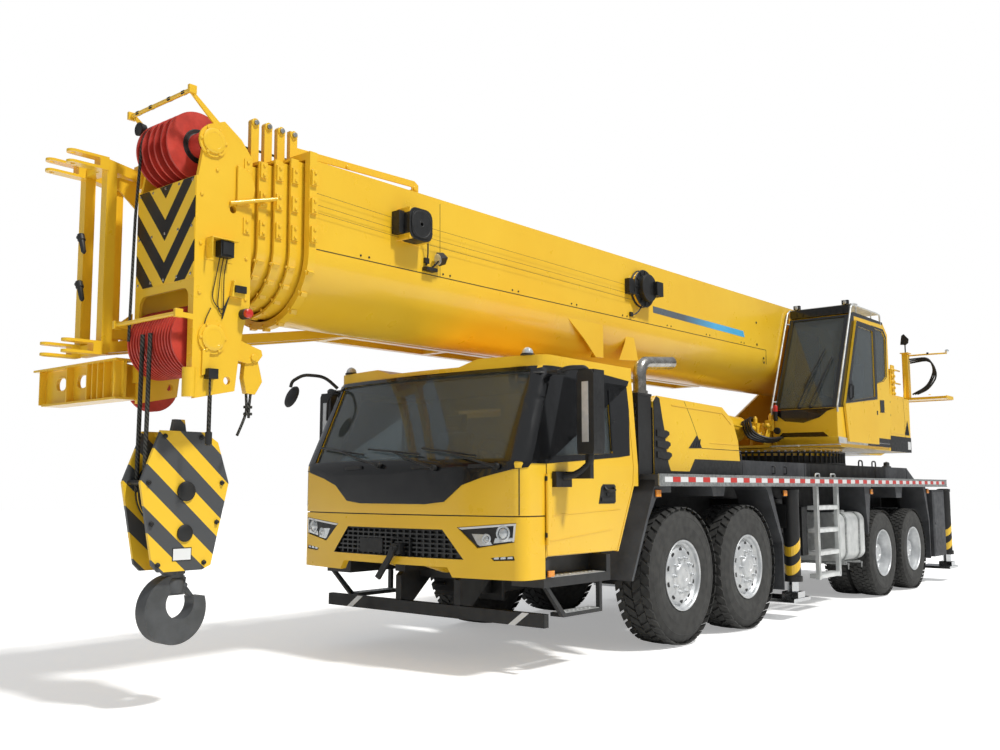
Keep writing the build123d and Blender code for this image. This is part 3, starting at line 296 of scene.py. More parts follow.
def turned(bm, start, direction, profile, sides=32, finish=0, turn=0.0):
    """Turned body: (distance along, radius) pairs in millimetres, about a line from a start point."""
    way = Vector(direction).normalized()
    across = way.orthogonal().normalized() if abs(way.x) < 0.9 else Vector((0, 0, 1))
    other = way.cross(across)
    rings = []
    for along, radius in profile:
        centre = place(*start) + way * along / 1000
        count = 1 if radius == 0 else sides
        spokes = [tau * (i + turn) / sides for i in range(count)]
        rings.append([bm.verts.new(centre + (across * cos(a) + other * sin(a)) * radius / 1000)
                      for a in spokes])
    for near, far in zip(rings, rings[1:]):
        for i in range(sides):
            j = (i + 1) % sides
            corners = [near[i % len(near)], near[j % len(near)], far[j % len(far)], far[i % len(far)]]
            face = bm.faces.new(list(dict.fromkeys(corners)))
            face.material_index = finish
    for ring in (rings[0], rings[-1]):
        if len(ring) > 1 and profile[0] != profile[-1]:
            bm.faces.new(ring).material_index = finish


def rod(bm, start, end, radius, sides=12, finish=0):
    """Round bar between two points."""
    span = Vector(end) - Vector(start)
    turned(bm, start, span, [(0, radius), (span.length, radius)], sides, finish)


def tube(bm, points, radius, sides=10, finish=0, bend=0.45, steps=4):
    """Bent tube through points, its corners rounded by a share of the shorter run."""
    way = [Vector(p) for p in points]
    path = [way[0]]
    for before, corner, after in zip(way, way[1:], way[2:]):
        reach = bend * min((corner - before).length, (after - corner).length)
        a = corner + (before - corner).normalized() * reach
        b = corner + (after - corner).normalized() * reach
        for i in range(steps + 1):
            t = i / steps
            path.append(a * (1 - t) ** 2 + corner * 2 * t * (1 - t) + b * t * t)
    path.append(way[-1])
    rings, across = [], None
    for i, point in enumerate(path):
        along = (path[min(i + 1, len(path) - 1)] - path[max(i - 1, 0)]).normalized()
        across = along.orthogonal() if across is None else across - along * across.dot(along)
        across.normalize()
        other = along.cross(across)
        spokes = [across * cos(tau * k / sides) + other * sin(tau * k / sides) for k in range(sides)]
        rings.append([bm.verts.new(place(*(point + spoke * radius))) for spoke in spokes])
    for near, far in zip(rings, rings[1:]):
        for k in range(sides):
            j = (k + 1) % sides
            bm.faces.new((near[k], near[j], far[j], far[k])).material_index = finish
    for ring in (rings[0], rings[-1]):
        bm.faces.new(ring).material_index = finish


def fit(name, bm, finishes, body, bevel_mm=0.0, bend=SHARP_FROM):
    """Finished piece from its mesh, riding on a body."""
    bmesh.ops.recalc_face_normals(bm, faces=bm.faces)
    mesh = bpy.data.meshes.new(name)
    bm.to_mesh(mesh)
    bm.free()
    for finish in finishes:
        mesh.materials.append(finish)
    mesh.shade_smooth()
    mesh.set_sharp_from_angle(angle=radians(bend))
    piece = bpy.data.objects.new(name, mesh)
    scene.collection.objects.link(piece)
    ease_edges(piece, bevel_mm, bend)
    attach(piece, body)
    return piece


def reflective_tape(name, code):
    """Prismatic reflective sheeting: a clear glossy film over fine cells, here drawn 6 mm across."""
    made, tree, shader = material(name, {"Base Color": linear(code), "Roughness": 0.3, "Coat Weight": 0.5})
    cells = add_node(tree, "ShaderNodeTexVoronoi",
                     {"Vector": add_node(tree, "ShaderNodeTexCoord").outputs["Object"], "Scale": 160})
    bump = add_node(tree, "ShaderNodeBump", {"Height": cells.outputs["Distance"], "Distance": 0.0006,
                                             "Strength": 0.6})
    tree.links.new(bump.outputs[0], shader.inputs["Normal"])
    return made


WHITE_TAPE, RED_TAPE = reflective_tape("white_tape", "#e4e6e6"), reflective_tape("red_tape", "#c8291f")

# Diagonal white bands on the front underrun bar.
BAR_LOW, BAR_HEIGHT = 390, 110
bands = bmesh.new()
for x in (-1060, 950):
    slant = [(x, BAR_LOW), (x + 75, BAR_LOW), (x + 225, BAR_LOW + BAR_HEIGHT), (x + 150, BAR_LOW + BAR_HEIGHT)]
    plate(bands, slant, (-1.5, 0), "station")
fit("underrun_bands", bands, [WHITE_TAPE], "carrier")

# ---------------------------------------------------------------- springs and under-frame fittings
# Brake chambers, air tanks and their pipes hang along the frame between the axles.
# They are painted with the chassis, and the pipes are bundled nylon and steel line.
AXLES = (2165, 3585, 7900, 9250)
SIDES = (("left", 1), ("right", -1))
STEER_R, DRIVE_R = 675, 608
CHAMBER = [(0, 88), (60, 92), (66, 98), (76, 98), (82, 92)]
under = bmesh.new()
for station in AXLES[:2]:
    for side in (-1, 1):
        turned(under, (side * 560, station - 150, STEER_R - 20), AHEAD, CHAMBER + [(130, 80), (140, 0)], 20)
        for x, along in ((side * 325 - 60, station - 70), (side * 325 + 60, station + 70)):
            rod(under, (x, along, STEER_R + 20), (x, along, 940), 12, 8)
        rod(under, (side * 470, station + 160, 700), (side * 430, station + 60, 1230), 34, 14)
    rod(under, (-860, station + 165, STEER_R - 60), (860, station + 165, STEER_R - 60), 22, 12)
for station in AXLES[2:]:
    turned(under, (0, station - 232, DRIVE_R), BACK,
           [(0, 120), (40, 150), (60, 190), (120, 205), (400, 205), (440, 150), (464, 90)], 28)
    for side in (-1, 1):
        turned(under, (side * 520, station + 120, DRIVE_R + 110), BACK, CHAMBER + [(210, 80), (220, 0)], 20)
for station in (4500, 5000):
    turned(under, (-470, station, 860), BACK, [(0, 60), (20, 110), (60, 130), (420, 130), (460, 110),
                                               (480, 60)], 24)
for z in (620, 650, 680):
    tube(under, [(180, 300, z), (180, 900, z), (260, 1300, z - 40), (260, 2600, z - 60)], 9, 6)
tube(under, [(-160, 260, 640), (-160, 900, 600), (-280, 1500, 560), (-280, 3300, 560)], 18, 8)
block(under, (-300, 300), (420, 1050), (560, 700))
block(under, (-420, 420), (560, 600), (500, 1000))
fit("running_gear_fittings", under, [CHASSIS_AND_PAINTED_SHADE], "carrier", 3)

# ---------------------------------------------------------------- tyres
# Radial truck tyres: vulcanised rubber, matt, greyed by dust on the tread and the shoulders.
# Steered axles carry wide traction blocks, and the driven twins a finer ribbed block pattern.

RUBBER = finish_of("tyre_rubber", ("#40403e", "#313130", 60), (0.68, 0.9, 30), (3, 0.25))
FACE_X, STEER_W, DRIVE_W, TWIN_SPACING = 1410, 385, 310, 350


def carcass(bm, side, station, radius, face, width, bead, tread):
    """Tyre body: bulged side walls with two moulded ribs, between the beads and the tread base."""
    base = radius - tread
    half = [(30, bead), (12, bead + 26), (1, bead + 90), (0, bead + 130), (-2, bead + 136), (0, bead + 142),
            (0, (bead + base) / 2 + 40), (6, base - 90), (3, base - 84), (7, base - 78), (18, base - 40),
            (40, base - 9), (64, base)]
    profile = half + [(width - d, r) for d, r in reversed(half)]
    turned(bm, (side * face, station, radius), (-side, 0, 0), profile + [half[0]], 72)


def tread_blocks(bm, side, station, radius, face, width, rows, pitches, tread, skew, gap):
    """Blocks moulded on the tread base: rows of (start, end) across, each row turned half a pitch."""
    base, centre = radius - tread - 3, place(0, station, radius)
    for row, (start, end) in enumerate(rows):
        for i in range(pitches):
            middle = tau * (i + 0.5 * (row % 2)) / pitches
            reach = tau / pitches * (1 - gap) / 2
            lean = tau / pitches * skew * (1 if row % 2 else -1)
            corners = []
            for x, shift in ((start, -lean), (end, lean)):
                for turn in (-reach, reach):
                    for r in (base, radius):
                        crown = radius - 5 - 9 * abs(2 * x / width - 1) ** 3 if r == radius else r
                        pull = 0.88 if r == radius else 1.0
                        a = middle + shift + turn * pull
                        corners.append(bm.verts.new(centre + Vector((side * (face - x) / 1000,
                                                                     cos(a) * crown / 1000,
                                                                     sin(a) * crown / 1000))))
            for loop in ((0, 1, 3, 2), (4, 6, 7, 5), (0, 4, 5, 1), (2, 3, 7, 6), (1, 5, 7, 3)):
                bm.faces.new([corners[k] for k in loop])


STEER_ROWS = [(4, 92), (100, 187), (198, 285), (293, 381)]
DRIVE_ROWS = [(6, 62), (70, 120), (127, 183), (190, 240), (248, 304)]
for axle, station in enumerate(AXLES, 1):
    for name, side in SIDES:
        rubber = bmesh.new()
        if axle < 3:
            carcass(rubber, side, station, STEER_R, FACE_X, STEER_W, 335, 22)
            tread_blocks(rubber, side, station, STEER_R, FACE_X, STEER_W, STEER_ROWS, 38, 22, 0.28, 0.22)
        else:
            for face in (FACE_X, FACE_X - TWIN_SPACING):
                carcass(rubber, side, station, DRIVE_R, face, DRIVE_W, 320, 16)
                tread_blocks(rubber, side, station, DRIVE_R, face, DRIVE_W, DRIVE_ROWS, 52, 16, 0.12, 0.2)
        worn = fit(f"tyre_rubber_{axle}_{name}", rubber, [RUBBER], f"wheel_{axle}_{name}")
        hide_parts(f"tyre_{axle}_{name}")

# ---------------------------------------------------------------- rims
# Pressed steel disc wheels, silver stove enamel: flange, stepped well, disc with ten hand holes,
# ten studs with flanged nuts, and the hub with its cap.

# Aluminium-pigmented enamel: fine metallic flake under a thin lacquer; it also paints a reflection on the
# mirror fronts.
SILVER_AND_PAINTED_REFLECTION = finish_of("wheel_silver_and_painted_reflection", ("#d8dadb", "#c3c6c8", 90), (0.32, 0.46, 50), None,
                   {"Metallic": 0.55, "Coat Weight": 0.3})
STUDS, STUD_CIRCLE = 10, 167
for axle, station in enumerate(AXLES, 1):
    radius = STEER_R if axle < 3 else DRIVE_R
    for name, side in SIDES:
        rim = bmesh.new()
        start = (side * FACE_X, station, radius)
        inwards = (-side, 0, 0)
        if axle < 3:
            lip = [(30, 334), (16, 344), (8, 341), (7, 332), (16, 322), (44, 316), (60, 300), (70, 290)]
            turned(rim, start, inwards, lip + [(200, 290), (350, 322), (352, 340), (340, 334), (210, 306),
                                               (90, 306), (60, 322), (30, 334)], 48)
            turned(rim, start, inwards, [(74, 292), (50, 264), (30, 222), (26, 202), (26, 132), (14, 124),
                                         (2, 112), (-2, 96), (-2, 60), (4, 54), (4, 0)], 48)
            turned(rim, start, inwards, [(90, 290), (66, 262), (50, 200), (50, 0)], 32)
            face_at, hole_at, hole_circle = 26, 40, 246
        else:
            lip = [(24, 319), (12, 328), (5, 325), (5, 316), (16, 306), (50, 300), (70, 288)]
            turned(rim, start, inwards, lip + [(180, 286), (196, 284), (300, 300), (302, 322), (290, 316),
                                               (190, 298), (60, 306), (24, 319)], 48)
            turned(rim, start, inwards, [(186, 288), (168, 250), (166, 202), (166, 132), (150, 126), (96, 120),
                                         (80, 108), (74, 90), (74, 50), (82, 44), (82, 0)], 48)
            turned(rim, start, inwards, [(204, 286), (188, 250), (186, 0)], 32)
            turned(rim, (side * (FACE_X - TWIN_SPACING), station, radius), inwards,
                   [(24, 319), (5, 325), (16, 306), (70, 288), (240, 288), (300, 300), (302, 322), (290, 316),
                    (190, 298), (60, 306), (24, 319)], 32)
            face_at, hole_at, hole_circle = 166, 172, 236
        # studs with their nuts, and between them black discs that paint the shade of the open hand holes
        for i in range(STUDS):
            for circle, half, shape, silver_or_painted_shade in ((STUD_CIRCLE, 0,
                                              [(0, 22), (8, 22), (9, 17), (26, 17), (27, 11), (44, 11),
                                               (45, 8)], 0), (hole_circle, 0.5, [(-3, 25), (2, 25)], 1)):
                a = tau * (i + half) / STUDS
                depth = face_at if not half else hole_at
                spot = (side * (FACE_X - depth), station + circle * cos(a), radius + circle * sin(a))
                turned(rim, spot, (side, 0, 0), shape, 12, silver_or_painted_shade)
        pressed = fit(f"disc_wheel_{axle}_{name}", rim, [SILVER_AND_PAINTED_REFLECTION, CHASSIS_AND_PAINTED_SHADE], f"wheel_{axle}_{name}",
                      1.5)
        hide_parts(f"rim_{axle}_{name}")

# ---------------------------------------------------------------- outriggers
# Box beams and hydraulic jacks. The jack barrels are black, with two yellow bands that climb round
# their lower ends, and the rods and floats are hard chromed steel.

# Two-pack polyurethane topcoat, sprayed and baked: warm golden yellow, high gloss, faint peel.
YELLOW_TONES, YELLOW_GLOSS, YELLOW_PEEL = ("#f2c531", "#eebe2a", 900), (0.26, 0.36, 240), (14, 0.05)
YELLOW = finish_of("crane_yellow", YELLOW_TONES, YELLOW_GLOSS, YELLOW_PEEL,
                   {"Coat Weight": 0.45, "Coat Roughness": 0.12})
# Ground and hard-chromed steel rod: a near mirror with a film of oil.
CHROME = finish_of("hard_chrome", "#d4d7da", (0.08, 0.2, 70), None, {"Metallic": 1.0})
# Hot-dip zinc on steel plate: dull grey metal with large soft spangles.
ZINC = finish_of("galvanised_plate", ("#b3b5b4", "#8f9292", 35), (0.35, 0.55, 45), None, {"Metallic": 0.8})
JACK_X, JACK_R, JACK_LOW, JACK_TOP = 1380, 95, 430, 1500
FRONT_BOX, REAR_BOX, BEAM_PITCH = 4790, 11010, 280
STRIPES, RISE, STEPS = 2, 110, 20
for end, box_station in (("front", FRONT_BOX), ("rear", REAR_BOX)):
    for name, side in SIDES:
        beam, jack = f"outrigger_beam_{end}_{name}", f"outrigger_jack_{end}_{name}"
        repaint(beam, CHASSIS_AND_PAINTED_SHADE, 3)
        repaint(jack, CHROME, 2)
        station = box_station if side > 0 else box_station + BEAM_PITCH
        sleeve = bmesh.new()
        turned(sleeve, (side * JACK_X, station, JACK_LOW), UP,
               [(0, JACK_R + 3), (0, JACK_R + 18), (60, JACK_R + 18), (64, JACK_R + 3)], 32, 0)
        turned(sleeve, (side * JACK_X, station, JACK_TOP - 40), UP, boss(JACK_R + 8, 44, 52, 60), 32, 0)
        for i in range(STRIPES):
            for k in range(STEPS):
                a, b = (tau * (k + t) / STEPS for t in (0, 1))
                corners = []
                for angle in (a, b):
                    base = JACK_LOW + 70 + i * 2 * RISE + 1.6 * RISE * (1 - cos(angle)) / 2
                    for z in (base, base + RISE):
                        corners.append(sleeve.verts.new(place(side * JACK_X + (JACK_R + 2) * sin(angle),
                                                              station - (JACK_R + 2) * cos(angle),
                                                              min(z, JACK_TOP - 45))))
                sleeve.faces.new((corners[0], corners[2], corners[3], corners[1])).material_index = 1
        fit(f"jack_barrel_{end}_{name}", sleeve, [CHASSIS_AND_PAINTED_SHADE, YELLOW], beam)

# ---------------------------------------------------------------- deck
# Folded chequer-plate deck in dark grey, edged by a galvanised side rail.
# Red and white conspicuity tape runs the length of each rail.

# Anti-slip deck paint, rolled on: flat slate grey with grit drawn 8 mm coarse, scuffed by boots.
DECK_PAINT = finish_of("deck_grey", ("#4b4d50", "#38393c", 300), (0.5, 0.75, 80), (8, 0.4))
repaint("deck", DECK_PAINT, 4)
DECK_HALF, DECK_FRONT, DECK_REAR = 1490, 1580, 10810
TAPES, TAPE_PITCH = 30, 300
for name, side in SIDES:
    rail = bmesh.new()
    block(rail, on_side(side, DECK_HALF - 10, DECK_HALF + 3), (DECK_FRONT - 2, DECK_REAR + 2), (1548, 1655))
    block(rail, on_side(side, DECK_HALF - 10, DECK_HALF + 10), (DECK_FRONT, DECK_REAR), (1540, 1552))
    block(rail, on_side(side, DECK_HALF - 10, DECK_HALF + 8), (DECK_FRONT, DECK_REAR), (1650, 1658))
    film = on_side(side, DECK_HALF + 3, DECK_HALF + 4.5)
    for i in range(TAPES):
        start = DECK_FRONT + 100 + i * TAPE_PITCH
        block(rail, film, (start, start + 148), (1580, 1630), 1)
        block(rail, film, (start + 152, start + 298), (1580, 1630), 2)
    fit(f"deck_rail_{name}", rail, [ZINC, WHITE_TAPE, RED_TAPE], "carrier", 1)

# ---------------------------------------------------------------- driver's cab
# Pressed steel shell and doors, primed and sprayed yellow. The screen surround and the nose band are
# gloss black acrylic laid on the same bowed front, and the laminated screen is bonded behind them.
CAB_HALF, CAB_FRONT, CAB_BELT, CAB_EAVES, LEAN, CORNER, BOW = 1360, -450, 1720, 2560, 380, 110, 150
TAPER = 0.16
SCREEN_HALF, SCREEN_LOW, SCREEN_HIGH = 1180, 1760, 2520


def lean_at(z):
    """How far the cab's front has leaned back at a height."""
    return min(max((z - CAB_BELT) * LEAN / (CAB_EAVES - CAB_BELT), 0), LEAN)


def cab_front(x, z, out):
    """Point so far out of the cab's bowed and leaning front, which turns the corner to its sides."""
    back = lean_at(z)
    half = CAB_HALF - back * TAPER
    bow = (half**2 + BOW**2) / (2 * BOW)
    centre, reach = CAB_FRONT + back + bow, half - CORNER
    if abs(x) <= reach * bow / (bow - CORNER):
        return place(x, centre - sqrt((bow + out) ** 2 - x**2), z)
    turn = (abs(x) - reach) / CORNER * pi / 2
    middle = centre - sqrt((bow - CORNER) ** 2 - reach**2)
    side = reach + (CORNER + out) * sin(min(turn, pi / 2))
    return place(side if x > 0 else -side, middle - (CORNER + out) * cos(min(turn, pi / 2)), z)


def cab_side(side):
    """Surface of one side of the cab, for (station, height, how far out)."""
    return lambda station, z, out: place(side * (CAB_HALF - lean_at(z) * TAPER + out), station, z)


def skin(bm, outline, surface, proud, depth, step=90, finish=0):
    """Sheet laid on a surface: its flat outline is cut into facets, lifted on and given a thickness."""
    flat = bmesh.new()
    flat.faces.new([flat.verts.new((u, v, 0)) for u, v in outline])
    bmesh.ops.triangulate(flat, faces=flat.faces[:])
    for axis in (0, 1):
        low, high = (pick(point[axis] for point in outline) for pick in (min, max))
        for k in range(int(low // step) + 1, int(high // step) + 1):
            line = Vector((k * step, 0, 0) if axis == 0 else (0, k * step, 0))
            cut = Vector((1, 0, 0) if axis == 0 else (0, 1, 0))
            bmesh.ops.bisect_plane(flat, geom=flat.verts[:] + flat.edges[:] + flat.faces[:], plane_co=line,
                                   plane_no=cut, dist=0.01)
    outer, inner = ({v: bm.verts.new(surface(v.co.x, v.co.y, out)) for v in flat.verts}
                    for out in (proud, proud - depth))
    for face in flat.faces:
        bm.faces.new([outer[v] for v in face.verts]).material_index = finish
        bm.faces.new([inner[v] for v in reversed(face.verts)]).material_index = finish
    for edge in flat.edges:
        if edge.is_boundary:
            a, b = edge.verts
            bm.faces.new((outer[a], outer[b], inner[b], inner[a])).material_index = finish
    flat.free()


def other_side(outline):
    """Outline mirrored about the middle of the machine."""
    return [(-x, z) for x, z in outline]


# Acrylic-faced panel, injection moulded: piano black with a clear, nearly flat surface.
GLOSS = finish_of("gloss_black_acrylic", ("#101113", "#0b0c0d", 500), (0.16, 0.26, 200), None,
                  {"Coat Weight": 0.6})
# Glass-filled polypropylene, moulded with a fine spark texture, drawn 3 mm coarse to show.
MOULDED = finish_of("moulded_black", ("#1f2021", "#161718", 70), (0.42, 0.6, 40), (3, 0.15))
# Grey-tinted laminated screen glass, floated and bent: dark, clear and smooth.
GLASS = finish_of("laminated_glass", "#838e92", (0.02, 0.05, 400), None,
                  {"Transmission Weight": 0.82, "IOR": 1.5})
for node in ("cab_shell", "cab_door_left", "cab_door_right"):
    repaint(node, YELLOW, 6)
repaint("cab_glass", GLASS)

surround = bmesh.new()
BAND = [(1360, 1722), (1340, 1690), (985, 1610), (785, 1546), (604, 1407), (400, 1386)]
skin(surround, BAND + other_side(BAND)[::-1] + [(-SCREEN_HALF, SCREEN_LOW + 2), (SCREEN_HALF, SCREEN_LOW + 2)],
     cab_front, 8, 10, 60)
PILLAR = [(1360, 1722), (SCREEN_HALF, SCREEN_LOW), (SCREEN_HALF, SCREEN_HIGH), (1299, 2556)]
BROW = [(SCREEN_HALF, SCREEN_HIGH - 2), (1299, 2556), (460, 2549), (380, 2540)]
for outline in (PILLAR, other_side(PILLAR)[::-1]):
    skin(surround, outline, cab_front, 10, 12, 40)
skin(surround, BROW + other_side(BROW)[::-1], cab_front, 10, 12, 60)
EMBLEM = [(690, 1640), (610, 1500), (520, 1420), (380, 1398)]
skin(surround, EMBLEM + other_side(EMBLEM)[::-1], cab_front, 9, 8)
for side in (-1, 1):
    # pillar ahead of the door, and the strip over it
    skin(surround, [(-205, 1722), (-2, 1722), (14, 1745), (318, 2474), (1330, 2474), (1362, 2522), (900, 2553),
                    (164, 2556)], cab_side(side), 8, 10, 60)
fit("screen_surround", surround, [GLOSS], "carrier")

# Panel joints of the nose: narrow dark gaps over rubber, left of and right of the middle.
joints = bmesh.new()
for x in (-1296, 1290):
    skin(joints, oblong(x, x + 6, 1306, 1680), cab_front, 1.5, 3)
for side in (-1, 1):
    skin(joints, oblong(-6, 0, 1300, 1722), cab_side(side), 1.5, 3)
    skin(joints, oblong(-216, -20, 1294, 1300), cab_side(side), 1, 3)
skin(joints, [(1358, 1290), (1358, 1299), (0, 1299), (-1358, 1299), (-1358, 1290)], cab_front, -8, 20)
fit("panel_joints", joints, [MOULDED], "carrier")

# Doors: black window frames, tinted glass, recessed grip, pressed creases and a sill bead.
for name, side in SIDES:
    frame_black = bmesh.new()
    surface = cab_side(side)
    for outline in ([(22, 1745), (100, 1790), (350, 2420), (322, 2458)],
                    [(322, 2458), (350, 2420), (1010, 2420), (1322, 2458)],
                    [(1010, 2420), (1010, 1835), (1290, 1822), (1334, 2250), (1322, 2458)],
                    [(22, 1745), (14, 1724), (1095, 1800), (1290, 1822), (1010, 1835), (100, 1790)]):
        skin(frame_black, outline, surface, 3, 6, 120)
    rod(frame_black, (side * 1352, 1000, 1850), (side * 1322, 1000, 2410), 9, 8)
    fit(f"window_frame_{name}", frame_black, [GLOSS], f"cab_door_{name}")
    pane = bmesh.new()
    skin(pane, [(96, 1784), (1014, 1830), (1014, 2424), (346, 2424)], surface, -16, 5, 200)
    fit(f"door_glass_{name}", pane, [GLASS], f"cab_door_{name}")
    grip = bmesh.new()
    cup = [(760, 1385), (1010, 1385), (1030, 1400), (1030, 1540), (1010, 1556), (830, 1556), (800, 1530)]
    skin(grip, cup, surface, 4, 8)
    skin(grip, [(790, 1405), (1008, 1405), (1008, 1440), (800, 1440)], surface, 14, 12)
    tube(grip, mirrored(side, [(1366, 850, 1530), (1392, 860, 1500), (1392, 985, 1500), (1366, 995, 1530)]),
         11, 8)
    turned(grip, (side * 1363, 900, 1470), (side, 0, 0), boss(22, 6, 8, 16), 20)
    for z in (2120, 2140):
        rod(grip, (side * 1340, 1040, z), (side * 1352, 1052, z), 4, 8)
    for z in (1120, 1580):
        turned(grip, (side * (CAB_HALF + 14), -8, z), UP, [(0, 18), (4, 20), (36, 20), (40, 18)], 16)
    fit(f"door_grip_{name}", grip, [MOULDED], f"cab_door_{name}", 2)
    press = bmesh.new()
    for (s0, z0), (s1, z1) in (((40, 1292), (1108, 1330)), ((40, 1085), (957, 1152))):
        skin(press, [(s0, z0), (s1, z1), (s1, z1 + 10), (s0, z0 + 10)], surface, 4, 8, 200)
    skin(press, [(14, 972), (1000, 972), (1034, 990), (14, 990)], surface, 3, 6, 200)
    fit(f"door_pressings_{name}", press, [YELLOW], f"cab_door_{name}", 3)

# Wipers: three painted arms on the scuttle, each with a rubber blade that lies along the screen.
wipers = bmesh.new()
for pivot, left_end, right_end in (((-143, 1721), (-1150, 1905), (-399, 1822)),
                                   ((518, 1690), (-360, 1871), (317, 1812)),
                                   ((1137, 1700), (321, 1863), (924, 1788))):
    root, knuckle = (drawn(cab_front(*pivot, out)) for out in (20, 52))
    rod(wipers, root, knuckle, 26, 16)
    spine = [drawn(cab_front(left_end[0] + (right_end[0] - left_end[0]) * t / 4,
                             left_end[1] + (right_end[1] - left_end[1]) * t / 4, 24)) for t in range(5)]
    tube(wipers, spine, 9, 6)
    tube(wipers, [p + Vector((0, -16, 4)) for p in spine[1:4]], 7, 6)
    tube(wipers, [knuckle, knuckle.lerp(spine[2], 0.5) + Vector((0, -22, 0)), spine[2] + Vector((0, -16, 4))],
         9, 8)
for x in (-620, 260, 860):
    skin(wipers, [(x, 1686), (x + 230, 1692), (x + 224, 1722), (x + 8, 1716)], cab_front, 26, 24)
fit("wipers", wipers, [MOULDED], "carrier", 1)

# Roof lamps: clear domes on low black feet over the corners of the screen.
lamps = bmesh.new()
for x in (-1120, 1120):
    foot = (x, 60, 2648)
    turned(lamps, foot, UP, [(0, 62), (14, 60), (18, 52), (18, 0)], 24)
    turned(lamps, (x, 60, 2666), UP, [(0, 50), (20, 48), (40, 36), (52, 18), (56, 0)], 24, 1)

# Polycarbonate lens, moulded clear and bright, over a polished reflector.
LENS = finish_of("clear_lens", ("#dfe3e6", "#b9c0c5", 60), (0.08, 0.18, 40), None,
                 {"Coat Weight": 0.8, "Metallic": 0.35})
# Amber polycarbonate with moulded ribs, which are not drawn.
AMBER = finish_of("amber_lens", ("#f09a16", "#d87a10", 40), (0.15, 0.3, 30), None, {"Coat Weight": 0.6})
fit("roof_lamps", lamps, [MOULDED, LENS], "carrier", 1)

# ---------------------------------------------------------------- front bumper and lamps
# Moulded bumper, sprayed with the cab. Its grille and lamp recesses are bare black plastic.
# Head and fog lamps are dark housings with bright projectors behind one clear cover each.

# The grille opening in metres: its heights, and its half widths at the foot and at the top.
GRILLE_LOW, GRILLE_TOP, GRILLE_WIDE, GRILLE_NARROW, SEAM_GAP = 0.940, 1.176, 0.800, 0.585, 0.003


def bumper_paint():
    """The cab's yellow coat, masked off over the grille so that the bare moulding shows there."""
    made, tree, shader = material("bumper_paint")
    mixed = mottled(tree, shader, *YELLOW_TONES)
    broken_gloss(tree, shader, *YELLOW_GLOSS)
    grain(tree, shader, *YELLOW_PEEL)
    where = add_node(tree, "ShaderNodeSeparateXYZ", {0: add_node(tree, "ShaderNodeTexCoord").outputs["Object"]})
    across = add_node(tree, "ShaderNodeMath", {0: where.outputs["X"]}, operation="ABSOLUTE")
    slope = (GRILLE_WIDE - GRILLE_NARROW) / (GRILLE_TOP - GRILLE_LOW)
    edge = add_node(tree, "ShaderNodeMath",
                    {0: where.outputs["Z"], 1: -slope, 2: GRILLE_NARROW + SEAM_GAP + GRILLE_TOP * slope},
                    operation="MULTIPLY_ADD")
    inside = add_node(tree, "ShaderNodeMath", {0: across.outputs[0], 1: edge.outputs[0]}, operation="LESS_THAN")
    low = add_node(tree, "ShaderNodeMath", {0: where.outputs["Z"], 1: GRILLE_LOW - 0.002},
                   operation="GREATER_THAN")
    high = add_node(tree, "ShaderNodeMath", {0: where.outputs["Z"], 1: GRILLE_TOP + 0.002},
                    operation="LESS_THAN")
    both = add_node(tree, "ShaderNodeMath", {0: low.outputs[0], 1: high.outputs[0]}, operation="MULTIPLY")
    grille = add_node(tree, "ShaderNodeMath", {0: both.outputs[0], 1: inside.outputs[0]}, operation="MULTIPLY")
    two_toned(tree, shader, grille.outputs[0], mixed, "#232425")
    return made


repaint("front_bumper", bumper_paint(), 2)
HEADLAMP = [(742, 1196), (1284, 1240), (1270, 1094), (938, 1041)]
FOG_LAMP = [(1064, 961), (1266, 981), (1279, 951), (1092, 941)]
beams = bmesh.new()
for flip in (1, -1):
    turn = (lambda points: points) if flip == 1 else (lambda points: other_side(points)[::-1])
    # dark bowl, bright reflector blades, the daylight strip round the rim, and the cover
    for outline, proud, depth, finish in (
            (HEADLAMP, -9, 8, 0),
            ([(880, 1150), (1010, 1148), (1075, 1066), (960, 1052), (935, 1066)], -5, 4, 1),
            ([(1100, 1120), (1086, 1078), (1256, 1100), (1262, 1128), (1130, 1084)], -5, 4, 1),
            ([(742, 1196), (1284, 1240), (1283, 1224), (782, 1182)], -2, 6, 2),
            ([(1284, 1240), (1270, 1094), (1258, 1094), (1270, 1228)], -2, 6, 2)):
        skin(beams, turn(outline), cab_front, proud, depth, 60, finish)
    for x, z, r in ((1172, 1160, 56), (1020, 1112, 34)):
        turned(beams, drawn(cab_front(flip * x, z, -6)), (flip * 0.12, -1, 0),
               [(-14, r + 8), (6, r + 8), (8, r - 2), (-6, r - 14), (2, r - 16), (9, (r - 16) * 0.7), (12, 0)],
               28, 1)
    skin(beams, turn(FOG_LAMP), cab_front, -6, 8, 60, 0)
    for n in range(3):
        x = 1090 + 62 * n
        skin(beams, turn([(x, 950 + n * 4), (x + 46, 953 + n * 4), (x + 44, 972 + n * 3),
                          (x + 2, 966 + n * 3)]), cab_front, -2, 5, 60, 1)
fit("head_and_fog_lamps", beams, [MOULDED, LENS, WHITE_TAPE], "carrier", 1)

hitch = bmesh.new()
# blank plate, and the drawbar pocket with its folded lever and pin
skin(hitch, oblong(-420, -110, 958, 1084), cab_front, -6, 5)
for outline in (oblong(11, 25, 946, 1096), oblong(226, 240, 946, 1096), oblong(11, 240, 1082, 1096)):
    skin(hitch, outline, cab_front, 6, 40)
plate(hitch, [(60, 1030), (130, 1030), (90, 940), (-70, 735), (-120, 760), (30, 950)], (-520, -496), "station")
rod(hitch, (110, -540, 1010), (110, -440, 1010), 26, 16)
rod(hitch, (110, -548, 1010), (110, -540, 1010), 15, 6)
block(hitch, (60, 160), (-500, -400), (960, 1050))
fit("drawbar_pocket", hitch, [MOULDED], "carrier", 2)

# ---------------------------------------------------------------- mirrors
# Moulded black housings on bent arms from the door's front edge, with silvered glass facing back,
# and one round close-view mirror on a forward arm at the right pillar.

